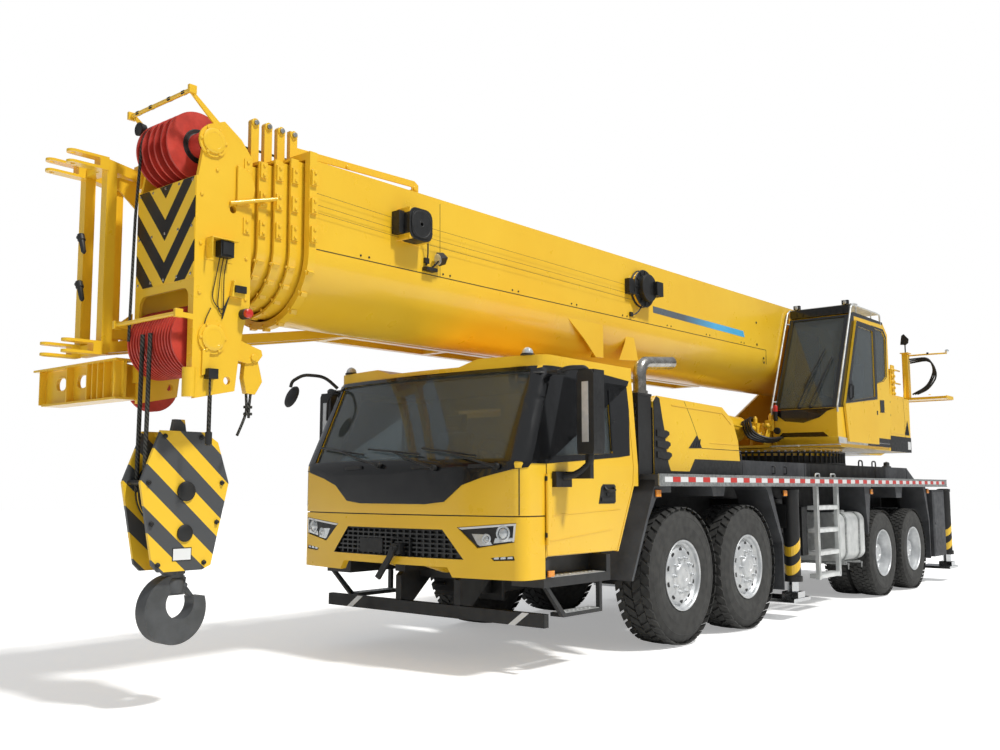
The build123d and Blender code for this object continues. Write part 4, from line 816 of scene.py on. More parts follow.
# Second-surface mirror: float glass, silvered, so near flat and bright.
MIRROR = finish_of("silvered_glass", "#dfe5e8", (0.04, 0.09, 200), None, {"Metallic": 1.0})
for name, side in SIDES:
    repaint(f"mirror_{name}", MOULDED, 8)
    head = bmesh.new()
    across = on_side(side, 1552, 1722)
    shell = [(across[0] + 8, 1800), (across[0], 1840), (across[0], 2460), (across[0] + 22, 2500),
             (across[1] - 22, 2500), (across[1], 2460), (across[1], 1840), (across[1] - 8, 1800)]
    plate(head, shell, (168, 318), "station")
    # rim, main and wide-angle glass facing back, and on the front face a silver plate: painted reflection
    for inset, low, high, along, finish in ((24, 1850, 2450, (318, 326), 0), (30, 1990, 2430, (326, 330), 1),
                                            (30, 1862, 1962, (326, 330), 1), (52, 1900, 2400, (164, 169), 2)):
        plate(head, oblong(across[0] + inset, across[1] - inset, low, high), along, "station", finish)
    block(head, on_side(side, 1340, 1452), (40, 190), (2476, 2500))
    tube(head, mirrored(side, [(1400, 110, 2488), (1500, 120, 2520), (1620, 200, 2520), (1634, 230, 2470)]),
         22, 10)
    tube(head, mirrored(side, [(1634, 250, 1820), (1630, 250, 1730), (1520, 230, 1640), (1400, 180, 1610)]),
         30, 10)
    block(head, on_side(side, 1362, 1412), (70, 290), (1530, 1650))
    fit(f"mirror_head_{name}", head, [MOULDED, MIRROR, SILVER_AND_PAINTED_REFLECTION], f"cab_door_{name}", 9)
near = bmesh.new()
tube(near, [(-1300, 40, 2520), (-1390, -60, 2640), (-1500, -240, 2650), (-1560, -330, 2580),
            (-1570, -340, 2520)], 17, 8)
turned(near, (-1572, -360, 2440), (0.15, 0.9, -0.35),
       [(0, 0), (8, 70), (26, 108), (40, 116), (48, 112), (50, 0)], 28)
tube(near, [(-1310, 30, 2500), (-1400, 0, 2420), (-1420, 10, 2200)], 12, 8)
fit("close_view_mirror", near, [MOULDED], "carrier", 2)

# ---------------------------------------------------------------- cab interior
# Grained plastic dashboard, cloth trim on the walls and roof, two sprung seats in woven cloth.
# The seats are foam pads under stitched covers, on black pedestals bolted to the floor.

# Non-woven trim cloth, needled and glued to board: dull charcoal with a soft nap.
TRIM = finish_of("trim_cloth", ("#4a4a4a", "#38393a", 40), None, (5, 0.4),
                 {"Sheen Weight": 0.3, "Roughness": 0.9})


def seat_cloth():
    """Woven polyester seat cloth, its threads drawn 5 mm apart, with a little sheen."""
    made, tree, shader = material("seat_cloth", {"Roughness": 0.85, "Sheen Weight": 0.25})
    spot = add_node(tree, "ShaderNodeTexCoord")
    warp = add_node(tree, "ShaderNodeTexWave", {"Vector": spot.outputs["Object"], "Scale": 32.0,
                                                "Distortion": 0.6}, bands_direction="X")
    weft = add_node(tree, "ShaderNodeTexWave", {"Vector": spot.outputs["Object"], "Scale": 32.0,
                                                "Distortion": 0.6}, bands_direction="Z")
    weave = add_node(tree, "ShaderNodeMath", {0: warp.outputs["Fac"], 1: weft.outputs["Fac"]},
                     operation="MULTIPLY")
    two_toned(tree, shader, weave.outputs[0], "#2b2d31", "#43464c")
    bump = add_node(tree, "ShaderNodeBump", {"Height": weave.outputs[0], "Distance": 0.0006, "Strength": 0.7})
    tree.links.new(bump.outputs[0], shader.inputs["Normal"])
    return made


SEAT = seat_cloth()
lining = bmesh.new()
REAR_WALL = (1352, 1364)
block(lining, (-1290, 1290), (20, 1360), (2486, 2500))
for low, high in ((1560, 1850), (2350, 2490)):
    block(lining, (-1290, 1290), REAR_WALL, (low, high))
for x in ((-1290, -900), (-250, 250), (900, 1290)):
    block(lining, x, REAR_WALL, (1850, 2350))
block(lining, (-420, 420), (60, 1000), (1013, 1020))
for side in (-1, 1):
    block(lining, on_side(side, 1255, 1262), (1020, 1340), (1840, 2440))
fit("cab_lining", lining, [TRIM], "carrier", 4)

dash = bmesh.new()
plate(dash, [(-255, 1350), (-255, 1700), (-120, 1722), (-20, 1700), (62, 1640), (62, 1420), (0, 1350)],
      (-1205, 1205))
plate(dash, [(-60, 1700), (-60, 1770), (60, 1760), (62, 1640)], (440, 960))
block(dash, (-180, 180), (62, 70), (1470, 1620))
for x in (-520, -360, 120, 1100):
    turned(dash, (x, 55, 1560), (0, 1, 0.1), [(0, 44), (14, 44), (16, 38), (10, 36), (10, 0)], 20)
for x in (-700, 700):
    turned(dash, (x, 740, 1010), UP, [(0, 190), (14, 190), (20, 120), (150, 120), (160, 160), (260, 160),
                                      (270, 230), (300, 230)], 8)
WHEEL, WHEEL_R, RAKE_45 = (700, 215, 1795), 225, 0.7071
ring = [(WHEEL[0] + x, WHEEL[1] - y * RAKE_45, WHEEL[2] + y * RAKE_45) for x, y in spaced(24, WHEEL_R)]
for k in range(24):
    rod(dash, ring[k], ring[(k + 1) % 24], 17, 8)
for k in (2, 10, 18):
    rod(dash, WHEEL, ring[k], 14, 8)
turned(dash, (700, 205, 1785), (0, RAKE_45, RAKE_45), [(0, 62), (16, 66), (26, 50), (28, 0)], 20)
rod(dash, (700, 40, 1620), (700, 205, 1785), 38, 14)
tube(dash, [(120, 560, 1020), (120, 560, 1300), (150, 545, 1420)], 14, 8)
turned(dash, (150, 545, 1410), UP, [(0, 20), (20, 30), (50, 32), (68, 22), (74, 0)], 16)
dashboard = fit("dashboard", dash, [MOULDED], "carrier", 10)
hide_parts("cab_interior")

SQUARENESS = 4.8


def cushion(bm, centre, size, tilt, crown, rolls):
    """Upholstered pad: a rounded block, crowned, with sewn channels across it and raised side rolls."""
    across, deep, thick = (d / 2 for d in size)
    columns, rows = 24, 20
    turn = radians(tilt)
    skins = []
    for level in (1, -1):
        grid = []
        for i in range(columns + 1):
            line = []
            for j in range(rows + 1):
                u, v = 2 * i / columns - 1, 2 * j / rows - 1
                edge = (1 - abs(u) ** SQUARENESS) * (1 - abs(v) ** SQUARENESS)
                high = thick * max(edge, 0) ** 0.35
                if level > 0:
                    high += crown * max(edge, 0) + rolls * max(0, abs(u) - 0.68) / 0.32 * max(edge, 0) ** 0.3
                    high -= 7 * max(0, 1 - abs(((v * 3.0) % 1.0) - 0.5) * 14) * max(edge, 0) * (abs(u) < 0.66)
                    high -= 8 * max(0, 1 - abs(abs(u) - 0.68) * 30) * max(edge, 0)
                x, y, z = u * across * (1 - 0.03 * v * v), v * deep, level * high
                y, z = y * cos(turn) - z * sin(turn), y * sin(turn) + z * cos(turn)
                line.append(bm.verts.new(place(centre[0] + x, centre[1] + y, centre[2] + z)))
            grid.append(line)
        skins.append(grid)
    top, under = skins
    for i in range(columns):
        for j in range(rows):
            bm.faces.new((top[i][j], top[i + 1][j], top[i + 1][j + 1], top[i][j + 1]))
            bm.faces.new((under[i][j + 1], under[i + 1][j + 1], under[i + 1][j], under[i][j]))
    bmesh.ops.remove_doubles(bm, verts=bm.verts[:], dist=0.0004)


def seat_pads(name, body, x, rolls, pads):
    """Squab, back and headrest of a seat, each from its (station, z), size, tilt and crown."""
    for pad, (spot, size, tilt, crown) in zip(("squab", "back", "headrest"), pads):
        padding = bmesh.new()
        cushion(padding, (x, *spot), size, tilt, crown, rolls)
        soft_pad = fit(f"{name}_seat_{pad}", padding, [SEAT], body, 0, 60)


for name, x in (("driver", 700), ("passenger", -700)):
    seat_pads(name, "carrier", x, 16, (((745, 1395), (500, 500, 130), 4, 22),
                                       ((1075, 1790), (470, 640, 110), 78, 18),
                                       ((1165, 2200), (270, 190, 80), 80, 12)))
    pan = bmesh.new()
    block(pan, (x - 220, x + 220), (520, 980), (1310, 1345))
    for post in (x - 60, x + 60):
        tube(pan, [(post, 1140, 2090), (post, 1168, 2180)], 7, 8)
    plate(pan, [(1000, 1330), (1120, 1330), (1215, 2080), (1190, 2080), (1085, 1420), (1000, 1400)],
          (x - 200, x + 200))
    fit(f"{name}_seat_frame", pan, [MOULDED], "carrier", 3)

# ---------------------------------------------------------------- steps, ladder and tanks
# Extruded aluminium ladders with punched treads, and bent stirrups under the step boxes.
# The tank is rolled aluminium sheet, brushed, held by two steel straps over rubber.

# Mill-finish sheet and extrusion, drawn along its length: bright, streaked and slightly cloudy.
ALUMINIUM = finish_of("brushed_aluminium", ("#dfe1e0", "#c6c9c8", 120), (0.32, 0.5, 60), (4, 0.08),
                      {"Metallic": 0.5})
# Stainless tube, rolled and polished, heat-straw in faint bands.
STEEL = finish_of("polished_steel", ("#c9c6c0", "#a9a49c", 90), (0.16, 0.3, 50), None, {"Metallic": 1.0})


def step_finish():
    """Ladders of bare aluminium, and step boxes under the cab doors sprayed satin black."""
    made, tree, shader = material("step_finish")
    mixed = mottled(tree, shader, "#dfe1e0", "#c6c9c8", 120)
    where = add_node(tree, "ShaderNodeSeparateXYZ", {0: add_node(tree, "ShaderNodeTexCoord").outputs["Object"]})
    rear = add_node(tree, "ShaderNodeMath", {0: where.outputs["Y"], 1: place(0, 2000, 0).y},
                    operation="GREATER_THAN")
    two_toned(tree, shader, rear.outputs[0], "#2a2b2c", mixed)
    broken_gloss(tree, shader, 0.36, 0.52, 60)
    return made


TANK_X, TANK_Z = 1085, 885


def rounded_square(half, radius, steps):
    """Outline of a square, its corners rounded about points so far out from its middle each way."""
    corners = enumerate(((half, half), (-half, half), (-half, -half), (half, -half)))
    return [(x + radius * cos(pi / 2 * (n + k / steps)), z + radius * sin(pi / 2 * (n + k / steps)))
            for n, (x, z) in corners for k in range(steps + 1)]


repaint("steps_and_ladders", step_finish(), 2)
repaint("side_tanks", ALUMINIUM, 4)
for name, side in SIDES:
    steps = bmesh.new()
    for z in (460, 740, 1020, 1300):
        # raised tread lip and its punched dimples
        block(steps, on_side(side, 1300, 1434), (5484, 6186), (z, z + 4))
        for n in range(9):
            for x in (1330, 1375, 1415):
                turned(steps, (side * x, 5560 + n * 70, z + 4), UP, [(0, 12), (3, 9), (3, 6), (0, 5)], 8)
    for station in (5505, 6165):
        rod(steps, (side * 1434, station, 420), (side * 1434, station, 1580), 9, 8)
    for foot, ahead, behind in ((1600, 5505, 5640), (1655, 6010, 6150)):
        hoop = ((ahead, foot), (ahead, 1700), (behind, 1700), (behind, 1655))
        tube(steps, [(side * 1405, s, z) for s, z in hoop], 11, 8)
    # treads of the step box and of the stirrup
    for low, ends, x in ((944, (70, 890), (1010, 1148)), (794, (80, 880), (1160, 1336)),
                         (488, (290, 820), (1196, 1326))):
        block(steps, on_side(side, *x), ends, (low - 4, low))
        for n in range(int((ends[1] - ends[0]) / 60)):
            turned(steps, (side * sum(x) / 2, ends[0] + 30 + n * 60, low), UP,
                   [(0, 16), (4, 12), (4, 8), (0, 7)], 10)
    fit(f"tread_plates_{name}", steps, [ALUMINIUM], "carrier", 1)

    straps = bmesh.new()
    for station in (6472, 6955):
        plate(straps, [(side * (TANK_X + x), TANK_Z + z) for x, z in rounded_square(205, 122, 6)],
              (station - 22, station + 22), "station")
        turned(straps, (side * 1420, station, 545), DOWN, [(0, 13), (30, 13), (30, 8), (80, 8)], 8)
        rod(straps, (side * 780, station, 540), (side * 1400, station, 540), 18, 8)
    turned(straps, (side * 1230, 6720, 1190), UP, [(0, 58), (12, 62), (34, 62), (40, 52), (40, 0)], 24)
    for station in (6340, 7100):
        turned(straps, (side * 1080, station, 1195), UP, boss(26, 14, 20, 14), 12)
    fit(f"tank_straps_{name}", straps, [ZINC], "carrier", 2)

    locker = bmesh.new()
    for near, far, along, up in ((896, 1444, (10146, 10784), (436, 1494)),
                                 (1444, 1449, (10170, 10760), (470, 1460)),
                                 (1449, 1453, (10200, 10730), (500, 1430))):
        block(locker, on_side(side, near, far), along, up)
    for n in range(6):
        block(locker, on_side(side, 1453, 1457), (10560, 10690), (560 + n * 26, 570 + n * 26))
    turned(locker, (side * 1453, 10250, 960), (side, 0, 0), boss(26, 6, 9, 18), 16)
    fit(f"rear_locker_{name}", locker, [DECK_PAINT], "carrier", 3)

    # amber side markers in black bezels
    markers = bmesh.new()
    for station, z in ((1600, 1440), (4470, 1430), (7350, 1440), (9900, 1440)):
        block(markers, on_side(side, 1432, 1446), (station, station + 90), (z, z + 66), 1)
        block(markers, on_side(side, 1424, 1434), (station - 8, station + 98), (z - 8, z + 74))
    block(markers, on_side(side, 1352, 1366), (16, 100), (800, 850), 1)
    fit(f"side_markers_{name}", markers, [MOULDED, AMBER], "carrier", 2)

# Deck furniture: the low rails, lifting eyes and box lids on the raised middle.
deck_fittings = bmesh.new()
for x in (-700, 700):
    for station in (4300, 4750, 9000, 9600):
        hoop = ((station, 1850), (station, 1950), (station + 160, 1950), (station + 160, 1850))
        tube(deck_fittings, [(x, s, z) for s, z in hoop], 12, 8)
for station in (4450, 8700, 9300):
    block(deck_fittings, (-620, 620), (station, station + 30), (1850, 1858))
for side in (-1, 1):
    for station in (5150, 5500):
        tube(deck_fittings, mirrored(side, [(1000, station, 1700), (1040, station, 1700), (1040, station, 1790),
                                            (1000, station, 1790)]), 9, 8)
    for station in (4320, 6150, 8850, 10330):
        plate(deck_fittings, oblong(station, station + 22, 1656, 1848), on_side(side, 1000, 1006))
    turned(deck_fittings, (side * 880, 9750, 1850), UP, [(0, 70), (20, 70), (26, 48), (80, 44), (96, 0)], 20)
fit("deck_fittings", deck_fittings, [DECK_PAINT], "carrier", 2)

# Hoses of the outrigger valves and the electric harness ahead of the ladder, behind the front jack.
hoses = bmesh.new()
for side in (-1, 1):
    for n, drop in enumerate((90, 150, 210, 260)):
        tube(hoses, mirrored(side, [(900 + n * 30, 4980, 1500), (1100 + n * 30, 5050 + n * 20, 1480 - drop),
                                    (1180 + n * 20, 5250 + n * 20, 1300 - drop), (900 + n * 20, 5400, 1200)]),
             14, 8)
    for n in range(7):
        turned(hoses, (side * 1180, 4700, 1380 - n * 26), UP, [(0, 52), (4, 62), (12, 62), (16, 52)], 20)
    block(hoses, on_side(side, 1000, 1320), (5250, 5420), (700, 1290))
fit("valve_hoses", hoses, [MOULDED], "carrier", 1)

# ---------------------------------------------------------------- engine cover and exhaust
# Pressed panels sprayed yellow, with a moulded black front edge, a dark sill band and vents.
# The silencer box is black, and its tail pipe polished stainless tube.
repaint("engine_cover", YELLOW, 5)
COVER_X = 1330
EDGE = [(1762, 1656), (2090, 1656), (2030, 1760), (1990, 1900), (1962, 2080), (1925, 2200), (1872, 2396),
        (1818, 2414), (1762, 2358)]
SILL = [(2088, 1656), (3617, 1656), (3600, 1818), (2570, 1818), (2456, 1690), (2084, 1690)]
VENT = [(2625, 2067), (2722, 1934), (2442, 1925)]
SEAM = [(2365, 2400), (2372, 2400), (2500, 2250), (2630, 2067), (2622, 2067), (2492, 2250)]
for name, side in SIDES:
    trim = bmesh.new()
    for outline, proud in ((EDGE, 7), (SILL, 4), (VENT, 4)):
        plate(trim, outline, on_side(side, COVER_X - 4, COVER_X + proud))
    for outline in (SEAM, oblong(2722, 3590, 1930, 1936)):
        plate(trim, outline, on_side(side, COVER_X, COVER_X + 1.5))
    for n in range(3):
        # three rounded louvres that break out of the edge panel into the yellow
        z = 2085 - n * 105
        lobe = [(1800, z), (1800, z - 60), (1960 + n * 26, z - 78), (2034 + n * 20, z - 40),
                (2030 + n * 20, z - 14), (1980 + n * 20, z)]
        plate(trim, lobe, on_side(side, COVER_X + 2, COVER_X + 20))
    for n in range(4):
        a, z = 2476 + n * 56, 1932 + n * 3
        plate(trim, [(a, z), (a + 22, z), (a + 60 - n * 4, z + 42 + n * 14), (a + 44 - n * 4, z + 44 + n * 14)],
              on_side(side, COVER_X + 3, COVER_X + 9))
    for station in (2180, 3480):
        turned(trim, (side * (COVER_X + 4), station, 1672), (side, 0, 0), boss(13, 4, 6, 9), 12)
    fit(f"cover_trim_{name}", trim, [MOULDED], "carrier", 3)
    emboss = bmesh.new()
    # pressed panel bead along the top edge, and the rear panel's swage
    plate(emboss, [(2110, 2352), (3200, 2332), (3400, 2222), (3398, 2210), (3196, 2320), (2110, 2340)],
          on_side(side, COVER_X, COVER_X + 6))
    plate(emboss, [(2900, 1990), (3560, 1990), (3556, 1998), (2900, 1998)], on_side(side, COVER_X, COVER_X + 4))
    fit(f"cover_pressings_{name}", emboss, [YELLOW], "carrier", 4)
cover_top = bmesh.new()
for x in (-1000, 700):
    for n in range(8):
        block(cover_top, (x, x + 300), (2200 + n * 70, 2240 + n * 70), (2406 - n * 1.6, 2418 - n * 1.6))
block(cover_top, (-1326, 1326), (1752, 1762), (1660, 2300))
for n in range(7):
    block(cover_top, (-1200, 1000), (1744, 1752), (1720 + n * 84, 1762 + n * 84))
fit("cover_vents", cover_top, [MOULDED], "carrier", 2)

exhaust = bmesh.new()
tube(exhaust, [(1250, 1650, 2400), (1250, 1650, 2730), (1250, 2262, 2791)], 64, 20, 0, 0.4, 10)
turned(exhaust, (1250, 1650, 2416), UP, [(0, 78), (40, 78), (44, 64)], 24)
fit("tail_pipe", exhaust, [STEEL], "carrier")
silencer = bmesh.new()
for n in range(9):
    block(silencer, (1030, 1300), (1488, 1498), (1760 + n * 66, 1796 + n * 66))
block(silencer, (1004, 1326), (1494, 1746), (2404, 2428))
fit("silencer_guard", silencer, [CHASSIS_AND_PAINTED_SHADE], "carrier", 3)

# ---------------------------------------------------------------- turntable and winches
# Welded platform and tail plates, sprayed yellow; the slew ring's bolts are blackened steel.
# Each winch drum is wound full of steel rope, and hoses run from the swivel to the valve blocks.


def wire_rope():
    """Drawn and stranded steel wire, greased: dark, with the lay of the strands 16 mm apart."""
    made, tree, shader = material("wire_rope", {"Roughness": 0.5, "Metallic": 0.5})
    spot = add_node(tree, "ShaderNodeTexCoord")
    lay = add_node(tree, "ShaderNodeTexWave", {"Vector": spot.outputs["Object"], "Scale": 20.0,
                                               "Distortion": 0.3}, bands_direction="DIAGONAL")
    two_toned(tree, shader, lay.outputs["Fac"], "#1f1f1e", "#55554f")
    bump = add_node(tree, "ShaderNodeBump", {"Height": lay.outputs["Fac"], "Distance": 0.002, "Strength": 0.8})
    tree.links.new(bump.outputs[0], shader.inputs["Normal"])
    return made


ROPE_STEEL = wire_rope()
SLEW_STATION = 7350
WINCHES = ((10250, 2450), (10800, 2560))
repaint("turntable", YELLOW, 4)
repaint("winches", YELLOW, 2)

ring_bolts = bmesh.new()
for z in (1852, 2004):
    turned(ring_bolts, (0, SLEW_STATION, z), UP, [(0, 996), (0, 1042), (22, 1042), (22, 996), (0, 996)], 72)
for x, along in spaced(72, 1022):
    turned(ring_bolts, (x, SLEW_STATION + along, 1872), UP, [(0, 17), (128, 17), (132, 12)], 8)
    turned(ring_bolts, (x, SLEW_STATION + along, 2026), UP, boss(19, 14, 18, 12), 6, 1)
fit("slew_ring_bolts", ring_bolts, [CHASSIS_AND_PAINTED_SHADE, STEEL], "carrier", 1)

wound = bmesh.new()
for station, z in WINCHES:
    profile = []
    for n in range(33):
        profile += [(n * 22, 214), (n * 22 + 6, 224), (n * 22 + 16, 224)]
    turned(wound, (-366, station, z), LEFT, profile + [(732, 214)], 40)
fit("wound_rope", wound, [ROPE_STEEL], "turntable")

motors = bmesh.new()
for station, z in WINCHES:
    for side in (-1, 1):
        turned(motors, (side * 548, station, z), (side, 0, 0),
               [(0, 168), (14, 168), (16, 130), (60, 124), (66, 92), (120, 88), (126, 40), (126, 0)], 28)
        for along, up in spaced(10, 148):
            turned(motors, (side * 560, station + along, z + up), (side, 0, 0), boss(13, 10, 12, 8), 6)
for side in (-1, 1):
    turned(motors, (side * 580, 9600, 3300), (side, 0, 0),
           [(0, 120), (24, 120), (30, 104), (30, 60), (20, 56), (20, 0)], 32)
    for station, z in ((8900, 3280), (9980, 3420), (10980, 2900), (10980, 2300)):
        turned(motors, (side * 548, station, z), (side, 0, 0), boss(22, 12, 16, 14), 6)
fit("winch_motors", motors, [YELLOW], "turntable", 3)

# Valve blocks ahead of the cylinder foot, and the hoses that loop from them to the winches.
valves, loops = bmesh.new(), bmesh.new()
for x, station, z in ((330, 6180, 2170), (420, 6240, 2300), (250, 6120, 2260)):
    block(valves, (x, x + 120), (station, station + 180), (z, z + 150))
    turned(valves, (x + 60, station, z + 75), AHEAD, [(0, 40), (60, 40), (64, 28), (110, 28), (110, 0)], 16)
    turned(valves, (x + 60, station + 60, z + 150), UP, [(0, 30), (70, 30), (76, 18), (96, 18), (96, 0)], 16)
block(valves, (-300, 520), (6200, 6480), (2074, 2110))
for side in (-1, 1):
    plate(valves, [(6060, 2110), (6420, 2110), (6420, 2470), (6340, 2520), (6240, 2420)],
          on_side(side, 470, 490))
fit("valve_blocks", valves, [YELLOW], "turntable", 4)
for n in range(4):
    x = 180 + 40 * n
    tube(loops, [(x + 380, 6420, 2160 + 20 * n), (x + 300, 6040 - 30 * n, 2140 + 12 * n),
                 (x + 120, 5940 - 30 * n, 2200 + 20 * n), (x, 6000, 2420 + 24 * n), (x - 80, 6400, 2460)],
         15 + 3 * (n % 2), 8)
for n in range(5):
    x = 572 + 26 * n
    tube(loops, [(x, 9420, 2500), (x + 16, 9700, 2300 + 60 * n), (x + 30, 10300, 2260 + 40 * n),
                 (x, 10900, 2400 + 30 * n)], 12, 8)
fit("superstructure_hoses", loops, [MOULDED], "turntable", 0)

# Rear housing behind the cab: seam, black triangular vent, black sill with a blank plate.
HOUSING_X, SILL_TOP = 1400, 2296
housing = bmesh.new()
plate(housing, oblong(8412, 9354, 2066, SILL_TOP), (HOUSING_X - 4, HOUSING_X + 5))
plate(housing, [(9352, 2066), (9356, SILL_TOP), (9352, SILL_TOP)], (560, HOUSING_X + 5))
plate(housing, [(9080, 2330), (9290, 2330), (9216, 2560)], (HOUSING_X - 4, HOUSING_X + 4))
for n in range(3):
    plate(housing, [(9112 + n * 50, 2345), (9128 + n * 50, 2345), (9190 + n * 22, 2470), (9178 + n * 22, 2470)],
          (HOUSING_X + 3, HOUSING_X + 9))
plate(housing, [(9060, 2885), (9066, 2885), (9110, 2560), (9090, SILL_TOP), (9084, SILL_TOP), (9104, 2560)],
      (HOUSING_X, HOUSING_X + 1.5))
for station, z in ((8450, 2600), (8450, 2800)):
    turned(housing, (HOUSING_X, station, z), LEFT, boss(16, 5, 7, 9), 12)
plate(housing, oblong(9190, 9320, 2110, 2230), (HOUSING_X + 4, HOUSING_X + 8), "x", 1)
block(housing, (-1306, -1296), (7640, 9560), (2090, 2200))
for n in range(8):
    block(housing, (-1306, -1300), (7800 + n * 90, 7860 + n * 90), (2240, 2440))
fit("housing_trim", housing, [MOULDED, WHITE_TAPE], "turntable", 2)
dome = bmesh.new()
# rounded roof pressing that softens the housing's top edges
plate(dome, [(8412, 2880), (8412, 2915), (8500, 2925), (9200, 2925), (9330, 2890), (9366, 2800), (9366, 2300),
             (9352, 2300), (9352, 2880)], (560, HOUSING_X - 30))
plate(dome, [(8430, 2330), (8430, 2850), (9020, 2850), (9066, 2560), (9040, 2330)],
      (HOUSING_X - 2, HOUSING_X + 4))
fit("housing_shell", dome, [YELLOW], "turntable", 14)

# Tail: mast with a winch mirror, camera arm and its loose hoses, on the flat tail plate.
tail = bmesh.new()
block(tail, (750, 850), (11180, 11300), (3078, 3870))
plate(tail, [(11060, 3080), (11180, 3080), (11180, 3500)], (780, 800))
block(tail, (730, 870), (11150, 11330), (3864, 3884))
tube(tail, [(850, 11240, 3830), (1100, 11300, 3838), (1440, 11420, 3846)], 15, 10)
for x, z in ((600, 3330), (700, 3330), (600, 3560), (700, 3560)):
    tube(tail, [(x, 10560, z - 240), (x, 10700, z), (x, 11180, z)], 16, 10)
for x in (560, 730):
    plate(tail, [(10480, 2980), (10480, 3180), (10600, 3620), (10760, 3620), (10760, 3080), (10700, 2980)],
          (x, x + 20))
for n in range(5):
    turned(tail, (574, 10620, 3120 + n * 100), LEFT,
           [(0, 34), (160, 34), (166, 46), (196, 46), (200, 24), (228, 24), (228, 0)], 16)
block(tail, (-706, 1486), (11496, 11504), (3030, 3090))
block(tail, (1476, 1486), (11100, 11500), (3030, 3090))
for station in (10980, 11460):
    turned(tail, (1300, station - 180, 3080), UP, boss(22, 8, 12, 14), 6)
fit("tail_mast", tail, [YELLOW], "turntable", 5)
watch = bmesh.new()
tube(watch, [(800, 11240, 3880), (800, 11240, 3980), (812, 11200, 4060)], 12, 8)
plate(watch, [(735, 4030), (760, 4190), (800, 4215), (880, 4120), (870, 4050), (830, 4020)], (11180, 11204),
      "station")
for n in range(3):
    tube(watch, [(870, 11200 + 20 * n, 3760 - 30 * n), (1180 + 20 * n, 11260, 3780 - 20 * n),
                 (1260 + 24 * n, 11280, 3560 - 60 * n), (1150, 11260, 3280 - 30 * n),
                 (900 + 40 * n, 11200, 3140)], 15, 8)
turned(watch, (1440, 11420, 3862), UP, [(0, 24), (10, 30), (26, 32), (42, 24), (50, 0)], 20, 1)
turned(watch, (1150, 11310, 3838), UP, [(0, 18), (34, 18), (36, 0)], 12)
fit("tail_mirror", watch, [MOULDED, MIRROR], "turntable", 3)

# ---------------------------------------------------------------- crane operator's cab
# Yellow steel cab with a black bonded screen frame, silver hand rails and a tinted screen.
# The roof guard is bent tube over black plate, and the door slides on the outside.
OP_IN, OP_OUT, OP_FRONT, OP_SILL = 556, 1420, 6280, 2580
RAKE = 620 / 1340


def op_front(x, z, out):
    """Point so far out of the crane cab's front, upright below the sill and raked back above it."""
    tilt = (0.908, 0.42) if z > OP_SILL else (1.0, 0.0)
    return place(x, OP_FRONT + max(z - OP_SILL, 0) * RAKE - tilt[0] * out, z + tilt[1] * out)


def op_side(station, z, out):
    """Point so far out of the crane cab's outer side, given its station and height."""
    return place(OP_OUT + out, station, z)


for node in ("crane_cab", "crane_cab_door"):
    repaint(node, YELLOW, 5)
repaint("crane_cab_glass", GLASS)
op_trim = bmesh.new()
LEFT_POST = [(OP_IN, 2584), (620, 2606), (620, 3886), (OP_IN, 3912)]
RIGHT_POST = [(OP_OUT, 2584), (OP_OUT, 3912), (1356, 3886), (1356, 2606)]
for outline in (LEFT_POST, RIGHT_POST, [(OP_IN, 3912), (620, 3886), (1356, 3886), (OP_OUT, 3912)]):
    skin(op_trim, outline, op_front, 5, 8)
NOSE = [(OP_IN, 2579), (600, 2500), (700, 2425), (960, 2396), (1180, 2460), (1290, 2540), (OP_OUT, 2579)]
skin(op_trim, NOSE, op_front, 5, 8)
skin(op_trim, [(OP_IN, 2584), (OP_OUT, 2584), (1356, 2606), (620, 2606)], op_front, 5, 8)
skin(op_trim, oblong(930, 1020, 2440, 2540), op_front, 10, 6)
skin(op_trim, [(600, 2210), (1300, 2200), (1230, 2262), (660, 2268)], op_front, 5, 8)
for outline in ([(7740, 3000), (7800, 3010), (7800, 3830), (7740, 3836)],
                [(7740, 3000), (8160, 3084), (8300, 3155), (8290, 3160), (8160, 3090), (7800, 3010)],
                [(8290, 3160), (8300, 3155), (8340, 3760), (8310, 3740)],
                [(8310, 3740), (8340, 3760), (8220, 3862), (7740, 3862), (7740, 3836), (8200, 3830)]):
    skin(op_trim, outline, op_side, 4, 8, 200)
skin(op_trim, [(7400, 2112), (8336, 2112), (8345, 2236), (7420, 2236)], op_side, 4, 8, 200)
skin(op_trim, [(7960, 2610), (8130, 2620), (8130, 2800), (7960, 2790)], op_side, 6, 8, 200)
skin(op_trim, [(6900, 3922), (7010, 3962), (8200, 3962), (8200, 3925), (7020, 3905)], op_side, 3, 6, 200)
# roof guard sides, sun visor and work lamps over the screen
skin(op_trim, [(6284, 2584), (6500, 2600), (6524, 2640), (7030, 3838), (7030, 3924), (6902, 3922)], op_side, 4,
     8, 200)
block(op_trim, (OP_IN + 10, OP_OUT - 6), (6880, 6960), (3930, 4046))
for n in range(8):
    block(op_trim, (600 + n * 96, 670 + n * 96), (6868, 6884), (3946, 3994))
for x in (640, 1340):
    block(op_trim, (x - 44, x + 44), (6936, 6990), (4066, 4126))
    rod(op_trim, (x, 6966, 4000), (x, 6966, 4070), 14, 8)
fit("crane_cab_trim", op_trim, [GLOSS], "turntable", 3)

